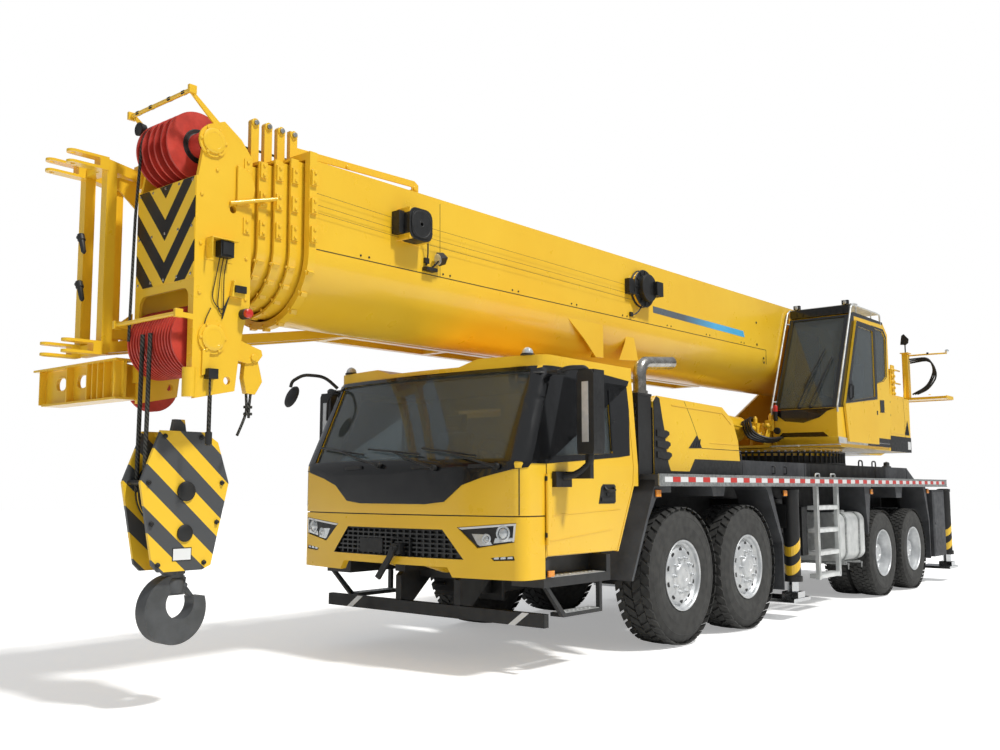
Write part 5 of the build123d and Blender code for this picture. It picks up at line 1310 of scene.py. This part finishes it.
rails = bmesh.new()
for x in (OP_IN - 24, OP_OUT + 26):
    tube(rails, [(x, OP_FRONT - 40, 2520), (x, OP_FRONT - 52, 2600), (x, 6868, 4010), (x, 6960, 4064),
                 (x, 7100, 4072)], 13, 10, 0, 0.08)
    for z in (2700, 3850):
        along = OP_FRONT + (z - OP_SILL) * RAKE
        rod(rails, (x, along - 56, z), (OP_IN + 6 if x < 900 else OP_OUT - 6, along + 4, z), 9, 8)
for x in (OP_IN, OP_OUT - 8):
    tube(rails, [(x, 6960, 4064), (x, 8000, 4072), (x, 8120, 4060), (x, 8130, 3900)], 13, 8, 0, 0.08)
for n in range(13):
    rod(rails, (OP_IN, 6990 + n * 90, 4066), (OP_OUT - 8, 6990 + n * 90, 4066), 8, 6)
for station in (7150, 7750):
    rod(rails, (OP_OUT - 8, station, 3950), (OP_OUT - 8, station, 4066), 10, 8)
skin(rails, [(6320, 2112), (7380, 2112), (7390, 2158), (6300, 2200)], op_side, 6, 10, 200)
block(rails, (OP_IN - 40, OP_OUT + 30), (6240, 6300), (2086, 2100))
block(rails, (OP_IN - 60, 900), (6200, 6260), (2078, 2090))
for x in (640, 1340):
    turned(rails, (x, 6936, 4096), AHEAD, boss(26, 4, 8, 16), 20)
fit("crane_cab_rails", rails, [ALUMINIUM], "turntable", 1)

op_glass = bmesh.new()
plate(op_glass, [(7796, 3006), (8162, 3088), (8294, 3158), (8314, 3742), (8202, 3834), (7796, 3834)],
      (OP_OUT - 20, OP_OUT - 14))
plate(op_glass, [(6796, 2746), (7904, 2746), (7904, 3804), (7078, 3804)], (OP_IN + 14, OP_IN + 20))
fit("crane_cab_side_glass", op_glass, [GLASS], "turntable")
door_trim, door_pane = bmesh.new(), bmesh.new()
for outline in ([(6506, 2646), (6640, 2760), (7080, 3760), (7034, 3837)],
                [(7034, 3837), (7080, 3760), (7660, 3760), (7748, 3837)],
                [(7660, 3760), (7660, 2820), (7748, 2786), (7748, 3837)],
                [(6506, 2646), (7748, 2786), (7660, 2820), (6760, 2700)],
                [(6506, 2646), (6760, 2700), (6640, 2760)]):
    skin(door_trim, outline, op_side, 43, 7, 300)
plate(door_trim, [(6640, 2660), (6760, 2690), (6780, 2960), (6740, 2975), (6655, 2930)],
      (OP_OUT + 36, OP_OUT + 46))
tube(door_trim, [(OP_OUT + 44, 6690, 2710), (OP_OUT + 74, 6692, 2730), (OP_OUT + 74, 6710, 2900),
                 (OP_OUT + 44, 6712, 2920)], 11, 8)
plate(door_trim, oblong(7700, 7740, 2560, 2620), (OP_OUT + 38, OP_OUT + 42))
rod(door_trim, (OP_OUT + 6, 6700, 2165), (OP_OUT + 6, 8300, 2165), 8, 8)
fit("crane_cab_door_frame", door_trim, [GLOSS], "crane_cab_door", 2)
plate(door_pane, [(6756, 2696), (7664, 2816), (7664, 3764), (7078, 3764), (6636, 2757)],
      (OP_OUT + 20, OP_OUT + 26))
fit("crane_cab_door_glass", door_pane, [GLASS], "crane_cab_door")

alarm = bmesh.new()
turned(alarm, (590, OP_FRONT - 58, 2430), UP, [(0, 20), (20, 30), (110, 30), (112, 34), (130, 34)], 20)
turned(alarm, (590, OP_FRONT - 58, 2560), UP, [(0, 32), (70, 32), (88, 22), (92, 0)], 20, 1)
turned(alarm, (590, OP_FRONT - 4, 2300), AHEAD, [(0, 46), (30, 46), (36, 36), (30, 30), (30, 0)], 24)
rod(alarm, (590, OP_FRONT, 2470), (590, OP_FRONT - 58, 2470), 10, 8)
fit("alarm_lamp", alarm, [MOULDED, RED_TAPE], "turntable", 1)
sweep = bmesh.new()
for low, high, blade in (((900, 2600), (1040, 3130), ((930, 2860), (1150, 3420))),
                         ((1060, 2600), (1190, 3060), ((1120, 2800), (1262, 3290)))):
    spots = ((low, 8), (low, 40), (high, 34), (blade[0], 16), (blade[1], 16))
    root, knuckle, tip, left_end, right_end = (drawn(op_front(*spot, out)) for spot, out in spots)
    rod(sweep, root, knuckle, 20, 12)
    tube(sweep, [knuckle, tip], 9, 8)
    tube(sweep, [left_end, right_end], 9, 6)
    rod(sweep, tip, left_end.lerp(right_end, 0.5), 7, 6)
fit("crane_cab_wipers", sweep, [MOULDED], "turntable", 1)

seat_pads("operator", "turntable", 1000, 14, (((7560, 2650), (470, 500, 120), 4, 20),
                                              ((7880, 3030), (440, 640, 110), 78, 16),
                                              ((7950, 3400), (260, 170, 80), 80, 10)))
perch = bmesh.new()
block(perch, (820, 1180), (7320, 7820), (2560, 2600))
turned(perch, (1000, 7570, 2152), UP, [(0, 210), (16, 210), (24, 150), (300, 150), (330, 190), (410, 190)], 8)
plate(perch, [(7780, 2570), (7900, 2600), (8010, 3330), (7980, 3330), (7850, 2690), (7780, 2640)], (830, 1170))
for x in (740, 1180):
    plate(perch, [(7330, 2600), (7330, 2800), (7420, 2860), (7760, 2830), (7760, 2600)], (x, x + 90))
    tube(perch, [(x + 45, 7400, 2840), (x + 45, 7390, 2900), (x + 45, 7370, 2960)], 12, 8)
    turned(perch, (x + 45, 7372, 2950), (0, -0.1, 1), [(0, 16), (20, 26), (60, 28), (90, 20), (96, 0)], 14)
for x in (900, 1060):
    plate(perch, [(6560, 2160), (6740, 2160), (6560, 2330), (6545, 2320)], (x, x + 70))
block(perch, (1230, 1340), (6900, 7100), (2700, 2980))
operator_seat = fit("operator_seat_frame", perch, [MOULDED], "turntable", 4)
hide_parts("crane_seat")

# ---------------------------------------------------------------- boom
# U-shaped boom sections of folded high-strength plate, welded along a seam and sprayed yellow.
# The whole boom rests a little nose-down, so its fittings are drawn level and then turned.
BOOM_SLOPE, PIVOT = 0.6, (0, 9600, 3300)
BOOM_X, BOOM_TOP, BASE_FRONT, COLLAR_PITCH, SECTION_STEP = 500, 4140, -1860, 120, 34


def lowered(bm):
    """Turns a level-drawn piece down to the slope that the boom rests at."""
    bmesh.ops.rotate(bm, verts=bm.verts[:], cent=place(*PIVOT),
                     matrix=Matrix.Rotation(radians(BOOM_SLOPE), 3, "X"))
    return bm


def fading_stripe():
    """Vinyl stripe on the boom side that fades along its length from slate to light blue."""
    made, tree, shader = material("fading_stripe", {"Coat Weight": 0.4})
    where = add_node(tree, "ShaderNodeSeparateXYZ", {0: add_node(tree, "ShaderNodeTexCoord").outputs["Object"]})
    start, end = place(0, 3900, 0).y, place(0, 4700, 0).y
    along = add_node(tree, "ShaderNodeMapRange", {"Value": where.outputs["Y"], "From Min": start,
                                                  "From Max": end})
    two_toned(tree, shader, along.outputs[0], "#59636c", "#54b2e2")
    broken_gloss(tree, shader, 0.25, 0.35, 200)
    return made


for node in ("boom_base", "boom_section_1", "boom_section_2", "boom_section_3", "boom_section_4"):
    repaint(node, YELLOW, 4)
repaint("luff_barrel", YELLOW, 3)
repaint("luff_rod", CHROME, 2)

seams = bmesh.new()
for side in (-1, 1):
    face = side * BOOM_X
    for outline in (oblong(-1780, 6180, 3446, 3453), oblong(6174, 6182, 3250, 3450),
                    oblong(-380, -376, 3454, 4100)):
        plate(seams, outline, on_side(side, BOOM_X, BOOM_X + 1.6))
    for n in range(8):
        for gap in (0, 90):
            turned(seams, (face, -1300 + n * 960 + gap, 3480), (side, 0, 0), boss(9, 5, 7, 5), 8)
    for station, z in ((5900, 3800), (5900, 3500), (6100, 3330), (6100, 3270), (8200, 3900), (8200, 3600)):
        turned(seams, (face, station, z), (side, 0, 0), boss(17, 4, 6, 9), 12)
fit("boom_seams", lowered(seams), [MOULDED], "boom_base")
stripe = bmesh.new()
for side in (1, -1):
    plate(stripe, [(3190, 3592), (5530, 3558), (5500, 3640), (3190, 3668)], on_side(side, BOOM_X, BOOM_X + 1.5))
fit("boom_stripe", lowered(stripe), [fading_stripe()], "boom_base")

# Gussets that carry the cylinder's load into the lower shell, and guides along the top.
gussets = bmesh.new()
for side in (-1, 1):
    plate(gussets, [(1440, 3380), (2165, 3330), (2165, 2975), (2020, 2970), (1800, 3150)],
          on_side(side, 478, 492))
    plate(gussets, [(2700, 3400), (2760, 3430), (2890, 3010), (2500, 2985), (2620, 3180)],
          on_side(side, 462, 474))
    plate(gussets, [(side * 478, 2980), (side * 330, 2990), (side * 478, 3330)], (2150, 2165), "station")
    plate(gussets, [(-1850, 4150), (-1850, 4290), (-470, 4330), (-420, 4300), (-420, 4135), (-480, 4135),
                    (-500, 4270), (-1780, 4230)], on_side(side, 262, 278))
    for station in (-1800, -1250, -470):
        turned(gussets, (side * 278, station, 4262), (side, 0, 0), boss(22, 12, 14, 12), 12)
    for station in (8950, 9560):
        block(gussets, on_side(side, 500, 508), (station, station + 70), (3480, 4090))
block(gussets, (-280, 280), (-475, -430), (4240, 4262))
for x in (-36, 60):
    plate(gussets, [(5760, 4135), (5880, 4135), (5860, 4260), (5820, 4285), (5780, 4260)], (x, x + 12))
rod(gussets, (-36, 5820, 4240), (72, 5820, 4240), 22, 12)
for x in (-60, 110):
    plate(gussets, [(9350, 4135), (9700, 4135), (9640, 4250), (9420, 4250)], (x, x + 14))
fit("boom_gussets", lowered(gussets), [YELLOW], "boom_base", 3)

# Cable reels: a square-cased one ahead and a large open disc with its motor box behind.
reels = bmesh.new()
face = BOOM_X
CASE, DISC = (-770, 3810), (2910, 3822)
for share, start, end in ((1, 20, 156), (0.84, 150, 164)):
    plate(reels, [(CASE[0] + s * share, CASE[1] + z * share) for s, z in rounded_square(60, 76, 4)],
          (face + start, face + end))
block(reels, (face, face + 90), (-960, -892), (3720, 3910))
for radius in (120, 30):
    turned(reels, (face + 163, *CASE), LEFT, [(0, radius), (3, radius), (5, radius - 10), (2, radius - 14)], 32)
turned(reels, (face - 2, *DISC), LEFT, [(0, 206), (12, 214), (24, 206), (30, 186), (48, 186), (54, 206),
                                        (66, 214), (72, 206), (72, 0)], 48)
turned(reels, (face + 60, *DISC), LEFT, boss(154, 74, 80, 140), 40)
for (s0, z0), (s1, z1) in zip(spaced(12, 60), spaced(12, 200)):
    rod(reels, (face + 74, DISC[0] + s0, DISC[1] + z0), (face + 74, DISC[0] + s1, DISC[1] + z1), 7, 6)
block(reels, (face + 60, face + 190), (2980, 3110), (3740, 3900))
block(reels, (face, face + 60), (2600, 2700), (3740, 3900))
block(reels, (face, face + 66), (2600, 2730), (3730, 3752))
tube(reels, [(face + 40, -650, 3780), (face + 60, -590, 3760), (face + 30, -560, 3600),
             (face + 12, -560, 3520)], 7, 6)
tube(reels, [(face + 60, 2860, 3630), (face + 40, 2800, 3540), (face + 12, 2720, 3500)], 8, 6)
for station, z in ((-560, 3560), (2700, 3510)):
    block(reels, (face, face + 26), (station - 24, station + 24), (z - 24, z + 24))
block(reels, (face, face + 60), (-600, -470), (3470, 3500))
tube(reels, [(face + 40, -520, 3500), (face + 80, -480, 3560)], 9, 6)
turned(reels, (face + 70, -430, 3590), (-0.2, -1, -0.25), [(-30, 52), (40, 62), (44, 56), (40, 50), (40, 0)], 4,
       0, 0.5)
turned(reels, (face + 62, -470, 3580), (-0.2, -1, -0.25), [(0, 50), (3, 50), (5, 0)], 20, 1)
fit("cable_reels", lowered(reels), [MOULDED, LENS], "boom_base", 3)
cables = bmesh.new()
for z in (3700, 3760, 3850):
    rod(cables, (face + 24, -900, z), (face + 24, -1850, z + 30), 1.5, 6)
    rod(cables, (face + 30, -640, z), (face + 30, 2700, z - 30), 1.5, 6)
fit("gauge_cables", lowered(cables), [ROPE_STEEL], "boom_base")

# Collars: bolted pad blocks on each side, rollers on the fingers and lugs round the lower curve.
BASE_COLLAR, LOWER_CURVE = 45, 3420
for n in range(5):
    front, shrink = BASE_FRONT - COLLAR_PITCH * n, SECTION_STEP * n
    reach = BOOM_X - shrink + (BASE_COLLAR if n == 0 else 0)
    ring = bmesh.new()
    for side in (-1, 1):
        for z in (3480, 3700, 3920):
            block(ring, on_side(side, reach, reach + 26), (front + 6, front + 64), (z, z + 120))
            for dz in (25, 95):
                turned(ring, (side * (reach + 26), front + 35, z + dz), (side, 0, 0), boss(14, 9, 11, 8), 6)
        if n < 4:
            turned(ring, (side * 255, front + 35, BOOM_TOP + 232), (side, 0, 0), [(0, 34), (52, 34)], 20)
            turned(ring, (side * 307, front + 35, BOOM_TOP + 232), (side, 0, 0), [(0, 20), (16, 20), (16, 0)],
                   12, 1)
    for k in range(1, 10):
        a = pi + pi * k / 10
        x, z = reach * cos(a), LOWER_CURVE + reach * sin(a)
        turned(ring, (x, front + 8, z), BACK, [(0, 24), (54, 24)], 4, 0, 0.5 + k / 10)
        turned(ring, (x * 0.99, front - 2, LOWER_CURVE + (z - LOWER_CURVE) * 0.96), AHEAD, boss(13, 8, 10, 7),
               6)
    body = "boom_base" if n == 0 else f"boom_section_{n}"
    fit(f"collar_blocks_{n}", lowered(ring), [YELLOW, ZINC], body, 2)

# Luffing cylinder: gland, foot band, feed pipe and its clamps on the barrel.
cylinder = bmesh.new()
foot, eye = Vector((0, 6500, 2330)), Vector((0, 2007.3, 2560.4))
line = (eye - foot).normalized()
turned(cylinder, foot + line * 4180, line, [(0, 162), (10, 169), (70, 169), (78, 158), (84, 118)], 36)
turned(cylinder, foot + line * 260, line, [(0, 166), (6, 176), (40, 176), (46, 166)], 36)
feed = [foot + line * share + Vector((out, 0, 0))
        for share, out in ((420, 168), (460, 206), (4000, 206), (4120, 166))]
tube(cylinder, feed, 15, 8, 0, 0.1)
for share in (900, 1800, 2700, 3600):
    turned(cylinder, foot + line * share, line, [(0, 162), (0, 168), (26, 168), (26, 162), (0, 162)], 32)
fit("cylinder_fittings", cylinder, [YELLOW], "luff_barrel", 2)

# ---------------------------------------------------------------- boom head
# Cast nylon sheaves in dull red run between the cheeks, and a chevron board covers the front plate.
# Lamps, limit switches and rope guards are bolted on in black and yellow.

# Cast nylon sheave: dull red, slightly waxy, darkened with rope grease in patches.
RED = finish_of("red_nylon_cast", ("#cf4436", "#b03328", 160), (0.4, 0.6, 60), (5, 0.2))


def striped(name, dark, light, pitch, lean_x, lean_y, shift):
    """Warning paint: bands of two colours that climb or fall away from the middle line."""
    made, tree, shader = material(name)
    where = add_node(tree, "ShaderNodeSeparateXYZ", {0: add_node(tree, "ShaderNodeTexCoord").outputs["Object"]})
    across = add_node(tree, "ShaderNodeMath", {0: where.outputs["X"]}, operation="ABSOLUTE")
    slant = add_node(tree, "ShaderNodeMath", {0: across.outputs[0], 1: lean_x, 2: where.outputs["Z"]},
                     operation="MULTIPLY_ADD")
    climb = add_node(tree, "ShaderNodeMath", {0: where.outputs["Y"], 1: lean_y, 2: slant.outputs[0]},
                     operation="MULTIPLY_ADD")
    turns = add_node(tree, "ShaderNodeMath", {0: climb.outputs[0], 1: 1000 / pitch, 2: -shift / pitch},
                     operation="MULTIPLY_ADD")
    share = add_node(tree, "ShaderNodeMath", {0: turns.outputs[0]}, operation="FRACT")
    band = add_node(tree, "ShaderNodeMath", {0: share.outputs[0], 1: 0.5}, operation="GREATER_THAN")
    two_toned(tree, shader, band.outputs[0], dark, light)
    broken_gloss(tree, shader, 0.28, 0.42, 150)
    return made


UPPER_AXLE, LOWER_AXLE, SHEAVE_R, HEAD_X = (-2602, 4098), (-2570, 2690), 253, 380
repaint("head_sheaves", RED, 3)
board = bmesh.new()
plate(board, oblong(-374, 374, 3100, 3822), (-2728, -2724), "station")
for x in (-340, -170, 0, 170, 340):
    for z in (3130, 3470, 3800):
        turned(board, (x, -2728, z), AHEAD, boss(11, 4, 6, 6), 10, 1)
fit("chevron_board", lowered(board), [striped("chevron_paint", "#0d0e11", "#f2c531", 312, -1.13, 0.0, 3284),
                                      STEEL], "boom_section_4")

hubs = bmesh.new()
for axle, first, pitch, count, width in ((LOWER_AXLE, -295, 74, 8, 54), (UPPER_AXLE, -205, 160, 3, 90)):
    for n in range(count):
        for x, way in ((first + pitch * n, -1), (first + pitch * n + width, 1)):
            turned(hubs, (x, *axle), (way, 0, 0), [(0, 128), (5, 124), (5, 96), (8, 92), (8, 66), (0, 60)], 28)
for side in (-1, 1):
    for axle in (UPPER_AXLE, LOWER_AXLE):
        turned(hubs, (side * (HEAD_X + 13), *axle), (side, 0, 0),
               [(0, 92), (12, 92), (18, 74), (18, 60), (10, 56), (10, 0)], 28, 1)
        for along, up in spaced(6, 100):
            turned(hubs, (side * (HEAD_X + 13), axle[0] + along, axle[1] + up), (side, 0, 0),
                   boss(12, 9, 11, 7), 6, 1)
fit("sheave_hubs", lowered(hubs), [CHASSIS_AND_PAINTED_SHADE, YELLOW], "boom_section_4", 1)

aux = bmesh.new()
AUX_AXLE = (-2460, 2426)
turned(aux, (-590, *AUX_AXLE), LEFT, [(0, 80), (4, 160), (0, 176), (0, 200), (14, 200), (26, 168), (44, 168),
                                      (56, 200), (70, 200), (70, 176), (66, 160), (70, 80)], 48)
fit("auxiliary_sheave", lowered(aux), [RED], "boom_section_4")
aux_frame = bmesh.new()
for x in (-610, -500):
    plate(aux_frame, [(-2780, 2300), (-2780, 2580), (-2400, 2520), (-2360, 2430), (-2400, 2340)], (x, x + 14))
rod(aux_frame, (-620, *AUX_AXLE), (-376, *AUX_AXLE), 34, 20)
for x in (-1560, -1120, -560, -420):
    block(aux_frame, (x, x + 12), (-2856, -2776), (2306, 2576))
for x in (-1290, -960):
    oval = []
    for half, cx in ((-pi / 2, 35), (pi / 2, -35)):
        oval += [(x + cx + 58 * cos(half + pi * k / 8), 2460 + 58 * sin(half + pi * k / 8)) for k in range(9)]
    inner = [(x + (u - x) * 0.86, 2460 + (v - 2460) * 0.84) for u, v in oval]
    for k in range(len(oval)):
        j = (k + 1) % len(oval)
        plate(aux_frame, [oval[k], oval[j], inner[j], inner[k]], (-2808, -2798), "station")
# stay and switch shelf on the left cheek
rod(aux_frame, (388, -2452, 3680), (470, -2100, 3770), 15, 12)
block(aux_frame, (378, 470), (-2640, -2420), (3384, 3392))
block(aux_frame, (378, 384), (-2640, -2420), (3240, 3392))
plate(aux_frame, [(-2640, 3392), (-2632, 3392), (-2632, 3240), (-2640, 3280)], (384, 466))
plate(aux_frame, [(-2440, 3000), (-2330, 3000), (-2330, 3030), (-2420, 3120)], (380, 420))
for side in (-1, 1):
    # half-round segment, pads and bolts of each cheek
    arc = [(-2400 + 150 * sin(pi * k / 8), 3820 + 150 * cos(pi * k / 8)) for k in range(9)]
    plate(aux_frame, [(-2400, 3960)] + arc + [(-2400, 3680)], on_side(side, 384, 404))
    plate(aux_frame, [(-2652, 2420), (-2600, 2440), (-2590, 2620), (-2650, 2600)], on_side(side, 380, 396))
    for station, z in ((-2680, 3000), (-2680, 3350), (-2680, 3700), (-2560, 3900), (-2300, 3000),
                       (-2300, 3300)):
        turned(aux_frame, (side * 380, station, z), (side, 0, 0), boss(15, 8, 10, 8), 6)
    for z in (2830, 4420):
        block(aux_frame, on_side(side, 386, 412), ((-2880, -2820) if z < 3000 else (-2820, -2760)),
              (z - 30, z + 30))
fit("head_brackets", lowered(aux_frame), [YELLOW], "boom_section_4", 3)

gear = bmesh.new()
# lamp, horn lamp and switch boxes on the left cheek, with their cables
block(gear, (384, 452), (-2562, -2452), (3268, 3380))
block(gear, (452, 462), (-2550, -2466), (3282, 3366))
turned(gear, (386, -2318, 2888), LEFT, [(-6, 38), (44, 38), (48, 30), (48, 0)], 24)
turned(gear, (434, -2318, 2888), LEFT, [(0, 33), (26, 33), (32, 24), (34, 0)], 24, 2)
block(gear, (380, 440), (-2420, -2330), (3030, 3080))
for n in range(3):
    tube(gear, [(410, -2540 + 30 * n, 3268), (404, -2560 + 30 * n, 3150), (392, -2590 + 50 * n, 2960 - 40 * n),
                (388, -2500, 2880 - 30 * n), (386, -2440, 3000)], 4, 6)
tube(gear, [(388, -2590, 2900), (390, -2640, 2800), (390, -2640, 2560), (388, -2600, 2450)], 4, 6)
block(gear, (376, 440), (-2626, -2550), (2400, 2470))
for x in (-300, -120, 120, 300):
    block(gear, (x - 20, x + 20), (-2806, -2776), (4408, 4432))
turned(gear, (-300, -2740, 4300), AHEAD, [(0, 44), (50, 52), (54, 46), (50, 40), (50, 0)], 20)
fit("head_lamps_and_switches", lowered(gear), [MOULDED, LENS, RED_TAPE], "boom_section_4", 2)

# ---------------------------------------------------------------- hoist rope
# Steel wire rope from the main winch over the boom's top guides to the upper sheaves, and down
# from their front past the board to the lower ones; the switch line and the dead end hang beside it.
line_up = bmesh.new()
tube(line_up, [(18, 9560, 4270), (18, 5820, 4290), (-160, -1700, 4352)], 11, 8, 0, 0.02)
fit("boom_top_rope", lowered(line_up), [ROPE_STEEL], "boom_base")
head_rope = bmesh.new()
axle_s, axle_z = UPPER_AXLE
turns = [pi / 2 * k / 8 for k in range(9)]
wrap = [(-160, -1690, 4352)] + [(-160, axle_s - 238 * sin(a), axle_z + 244 * cos(a)) for a in turns]
tube(head_rope, wrap + [(-190, axle_s - 250, 3600), (-268, -2828, 2700)], 11, 8, 0, 0.05)
for x in (-268, -120, 28, 176):
    turns = [pi * (0.5 + k / 10) for k in range(11)]
    arc = [(x, LOWER_AXLE[0] + 232 * cos(a), LOWER_AXLE[1] + 232 * sin(a)) for a in turns]
    for start, end in zip(arc, arc[1:]):
        rod(head_rope, start, end, 11, 6)
fit("head_rope", lowered(head_rope), [ROPE_STEEL], "boom_section_4")
switch_line = bmesh.new()
rod(switch_line, (405, -2594, 2410), (405, -2594, 2010), 8, 8)
turned(switch_line, (405, -2594, 2040), DOWN, [(0, 10), (10, 24), (90, 24), (100, 12), (100, 0)], 16, 1)
fit("switch_weight", lowered(switch_line), [ROPE_STEEL, CHASSIS_AND_PAINTED_SHADE], "boom_section_4")
wedge = bmesh.new()
for x in (262, 330):
    plate(wedge, [(-2360, 2720), (-2120, 2650), (-2110, 2610), (-2150, 2560), (-2240, 2540), (-2360, 2560)],
          (x, x + 12))
turned(wedge, (250, -2190, 2590), LEFT, [(0, 26), (104, 26)], 16)
plate(wedge, [(-2250, 2590), (-2140, 2570), (-2098, 2420), (-2160, 2322), (-2236, 2326), (-2264, 2440)],
      (276, 328))
tube(wedge, [(296, -2216, 2330), (300, -2210, 2200), (306, -2250, 2110), (300, -2290, 2020)], 11, 8, 1)
tube(wedge, [(310, -2186, 2340), (306, -2196, 2230), (310, -2200, 2150)], 11, 8, 1)
for z in (2170, 2220):
    block(wedge, (286, 322), (-2232, -2176), (z, z + 20), 1)
fit("dead_end_wedge", lowered(wedge), [YELLOW, ROPE_STEEL], "boom_section_4", 3)

# ---------------------------------------------------------------- jib
# Lattice jib of square tube folded along the boom's right side: pins, stop blocks and cable clips.
repaint("jib", YELLOW, 5)
jib_pins = bmesh.new()
for z in (3120, 3480):
    turned(jib_pins, (-790, -2950, z + 70), (0.4, 0, -1),
           [(0, 26), (50, 30), (56, 22), (150, 18), (166, 8), (166, 0)], 16)
    rod(jib_pins, (-850, -2940, z + 60), (-780, -2950, z + 40), 16, 8)
for station in (-480, 1000, 2800, 4600):
    block(jib_pins, (-1046, -1040), (station, station + 60), (3040, 3120))
for station in (940, 4540):
    turned(jib_pins, (-560, station, 3486), UP, boss(26, 40, 46, 16), 16)
fit("jib_pins", lowered(jib_pins), [CHASSIS_AND_PAINTED_SHADE], "boom_base", 1)
joint_box = bmesh.new()
block(joint_box, (-610, -500), (-2640, -2480), (3920, 4110))
turned(joint_box, (-500, -2560, 4016), LEFT, boss(56, 10, 14, 40), 24)
for level, corner in ((3980, 3760), (2750, 2960)):
    plate(joint_box, [(-2900, level), (-2640, level), (-2640, corner)], (-568, -552))
plate(joint_box, [(-2480, 4100), (-2200, 4080), (-2200, 4020), (-2480, 3940)], (-600, -584))
for station in (900, 2700, 4500):
    for x in (-640, -1000):
        plate(joint_box, [(station - 120, 3140), (station + 200, 3140), (station + 80, 3300), (station, 3300)],
              (x - 6, x + 6))
fit("jib_gussets", lowered(joint_box), [YELLOW], "boom_base", 4)

# ---------------------------------------------------------------- hook block and hook
# Steel cheeks painted in dark grey and yellow diagonals over dark sheaves; the forged hook is grey
# with a sprung latch. Three falls of rope run up to the boom head.

# Forged and shot-blasted steel under one coat of grey paint, worn in patches.
FORGED = finish_of("forged_grey", ("#56585a", "#4a4c4d", 90), (0.4, 0.62, 45), (7, 0.4), {"Metallic": 0.2})
HOOK_STATION, BLOCK_AXLE, CHEEK_X = -2562.9, 1500, 128
repaint("hook_block", striped("block_stripes", "#4a4c4e", "#f2c531", 300, 0.0, 0.9, 0), 4)
repaint("hook", FORGED, 8)
tackle = bmesh.new()
for n in range(3):
    x = -91 + 66 * n
    turned(tackle, (x - 1, HOOK_STATION, BLOCK_AXLE), LEFT,
           [(0, 60), (0, 262), (12, 264), (20, 240), (32, 240), (40, 264), (52, 262), (52, 60)], 56)
for side in (-1, 1):
    for z, r in ((BLOCK_AXLE, 70), (1210, 60)):
        turned(tackle, (side * CHEEK_X, HOOK_STATION, z), (side, 0, 0), boss(r, 14, 20, r - 14), 24)
    for s, z in ((-290, 1560), (290, 1560), (-180, 1880), (110, 1880), (-200, 1000), (160, 1000), (-260, 1280),
                 (255, 1280)):
        turned(tackle, (side * CHEEK_X, HOOK_STATION + s, z), (side, 0, 0),
               [(0, 19), (10, 19), (13, 12), (24, 12), (24, 0)], 6)
for s in (-300, 290):
    rod(tackle, (-104, HOOK_STATION + s, 1560), (104, HOOK_STATION + s, 1560), 17, 12)
block(tackle, (-103, 103), (HOOK_STATION - 130, HOOK_STATION + 130), (1140, 1280))
turned(tackle, (0, HOOK_STATION, 1120), UP, [(0, 92), (18, 92), (24, 70), (44, 66), (50, 0)], 28)
fit("block_sheaves", tackle, [CHASSIS_AND_PAINTED_SHADE], "hook_block", 2)
label = bmesh.new()
plate(label, oblong(HOOK_STATION - 90, HOOK_STATION + 60, 1020, 1110), (CHEEK_X, CHEEK_X + 3))
plate(label, oblong(HOOK_STATION - 84, HOOK_STATION + 54, 1026, 1104), (CHEEK_X + 3, CHEEK_X + 4), "x", 1)
fit("block_plate", label, [CHASSIS_AND_PAINTED_SHADE, WHITE_TAPE], "hook_block", 0)
falls = bmesh.new()
for x, side in ((-80, -1), (18, -1), (-30, 1)):
    s = HOOK_STATION + side * (SHEAVE_R + 11.3)
    rod(falls, (x + 11, s, BLOCK_AXLE), (x + 11, s, 2600), 16, 12)
fit("rope_falls", falls, [ROPE_STEEL], "hook_block")

latch = bmesh.new()
plate(latch, [(HOOK_STATION + 60, 860), (HOOK_STATION + 90, 850), (HOOK_STATION + 215, 700),
              (HOOK_STATION + 200, 690), (HOOK_STATION + 50, 830)], (-22, 22))
turned(latch, (-64, HOOK_STATION + 66, 846), LEFT, [(0, 17), (128, 17)], 16)
turned(latch, (0, HOOK_STATION, 790), UP, [(0, 70), (30, 84), (90, 84), (108, 74), (108, 40)], 28)
turned(latch, (0, HOOK_STATION, 982), DOWN, [(0, 82), (20, 88), (54, 88), (60, 80), (60, 0)], 6)
fit("hook_latch", latch, [FORGED], "hook", 3)
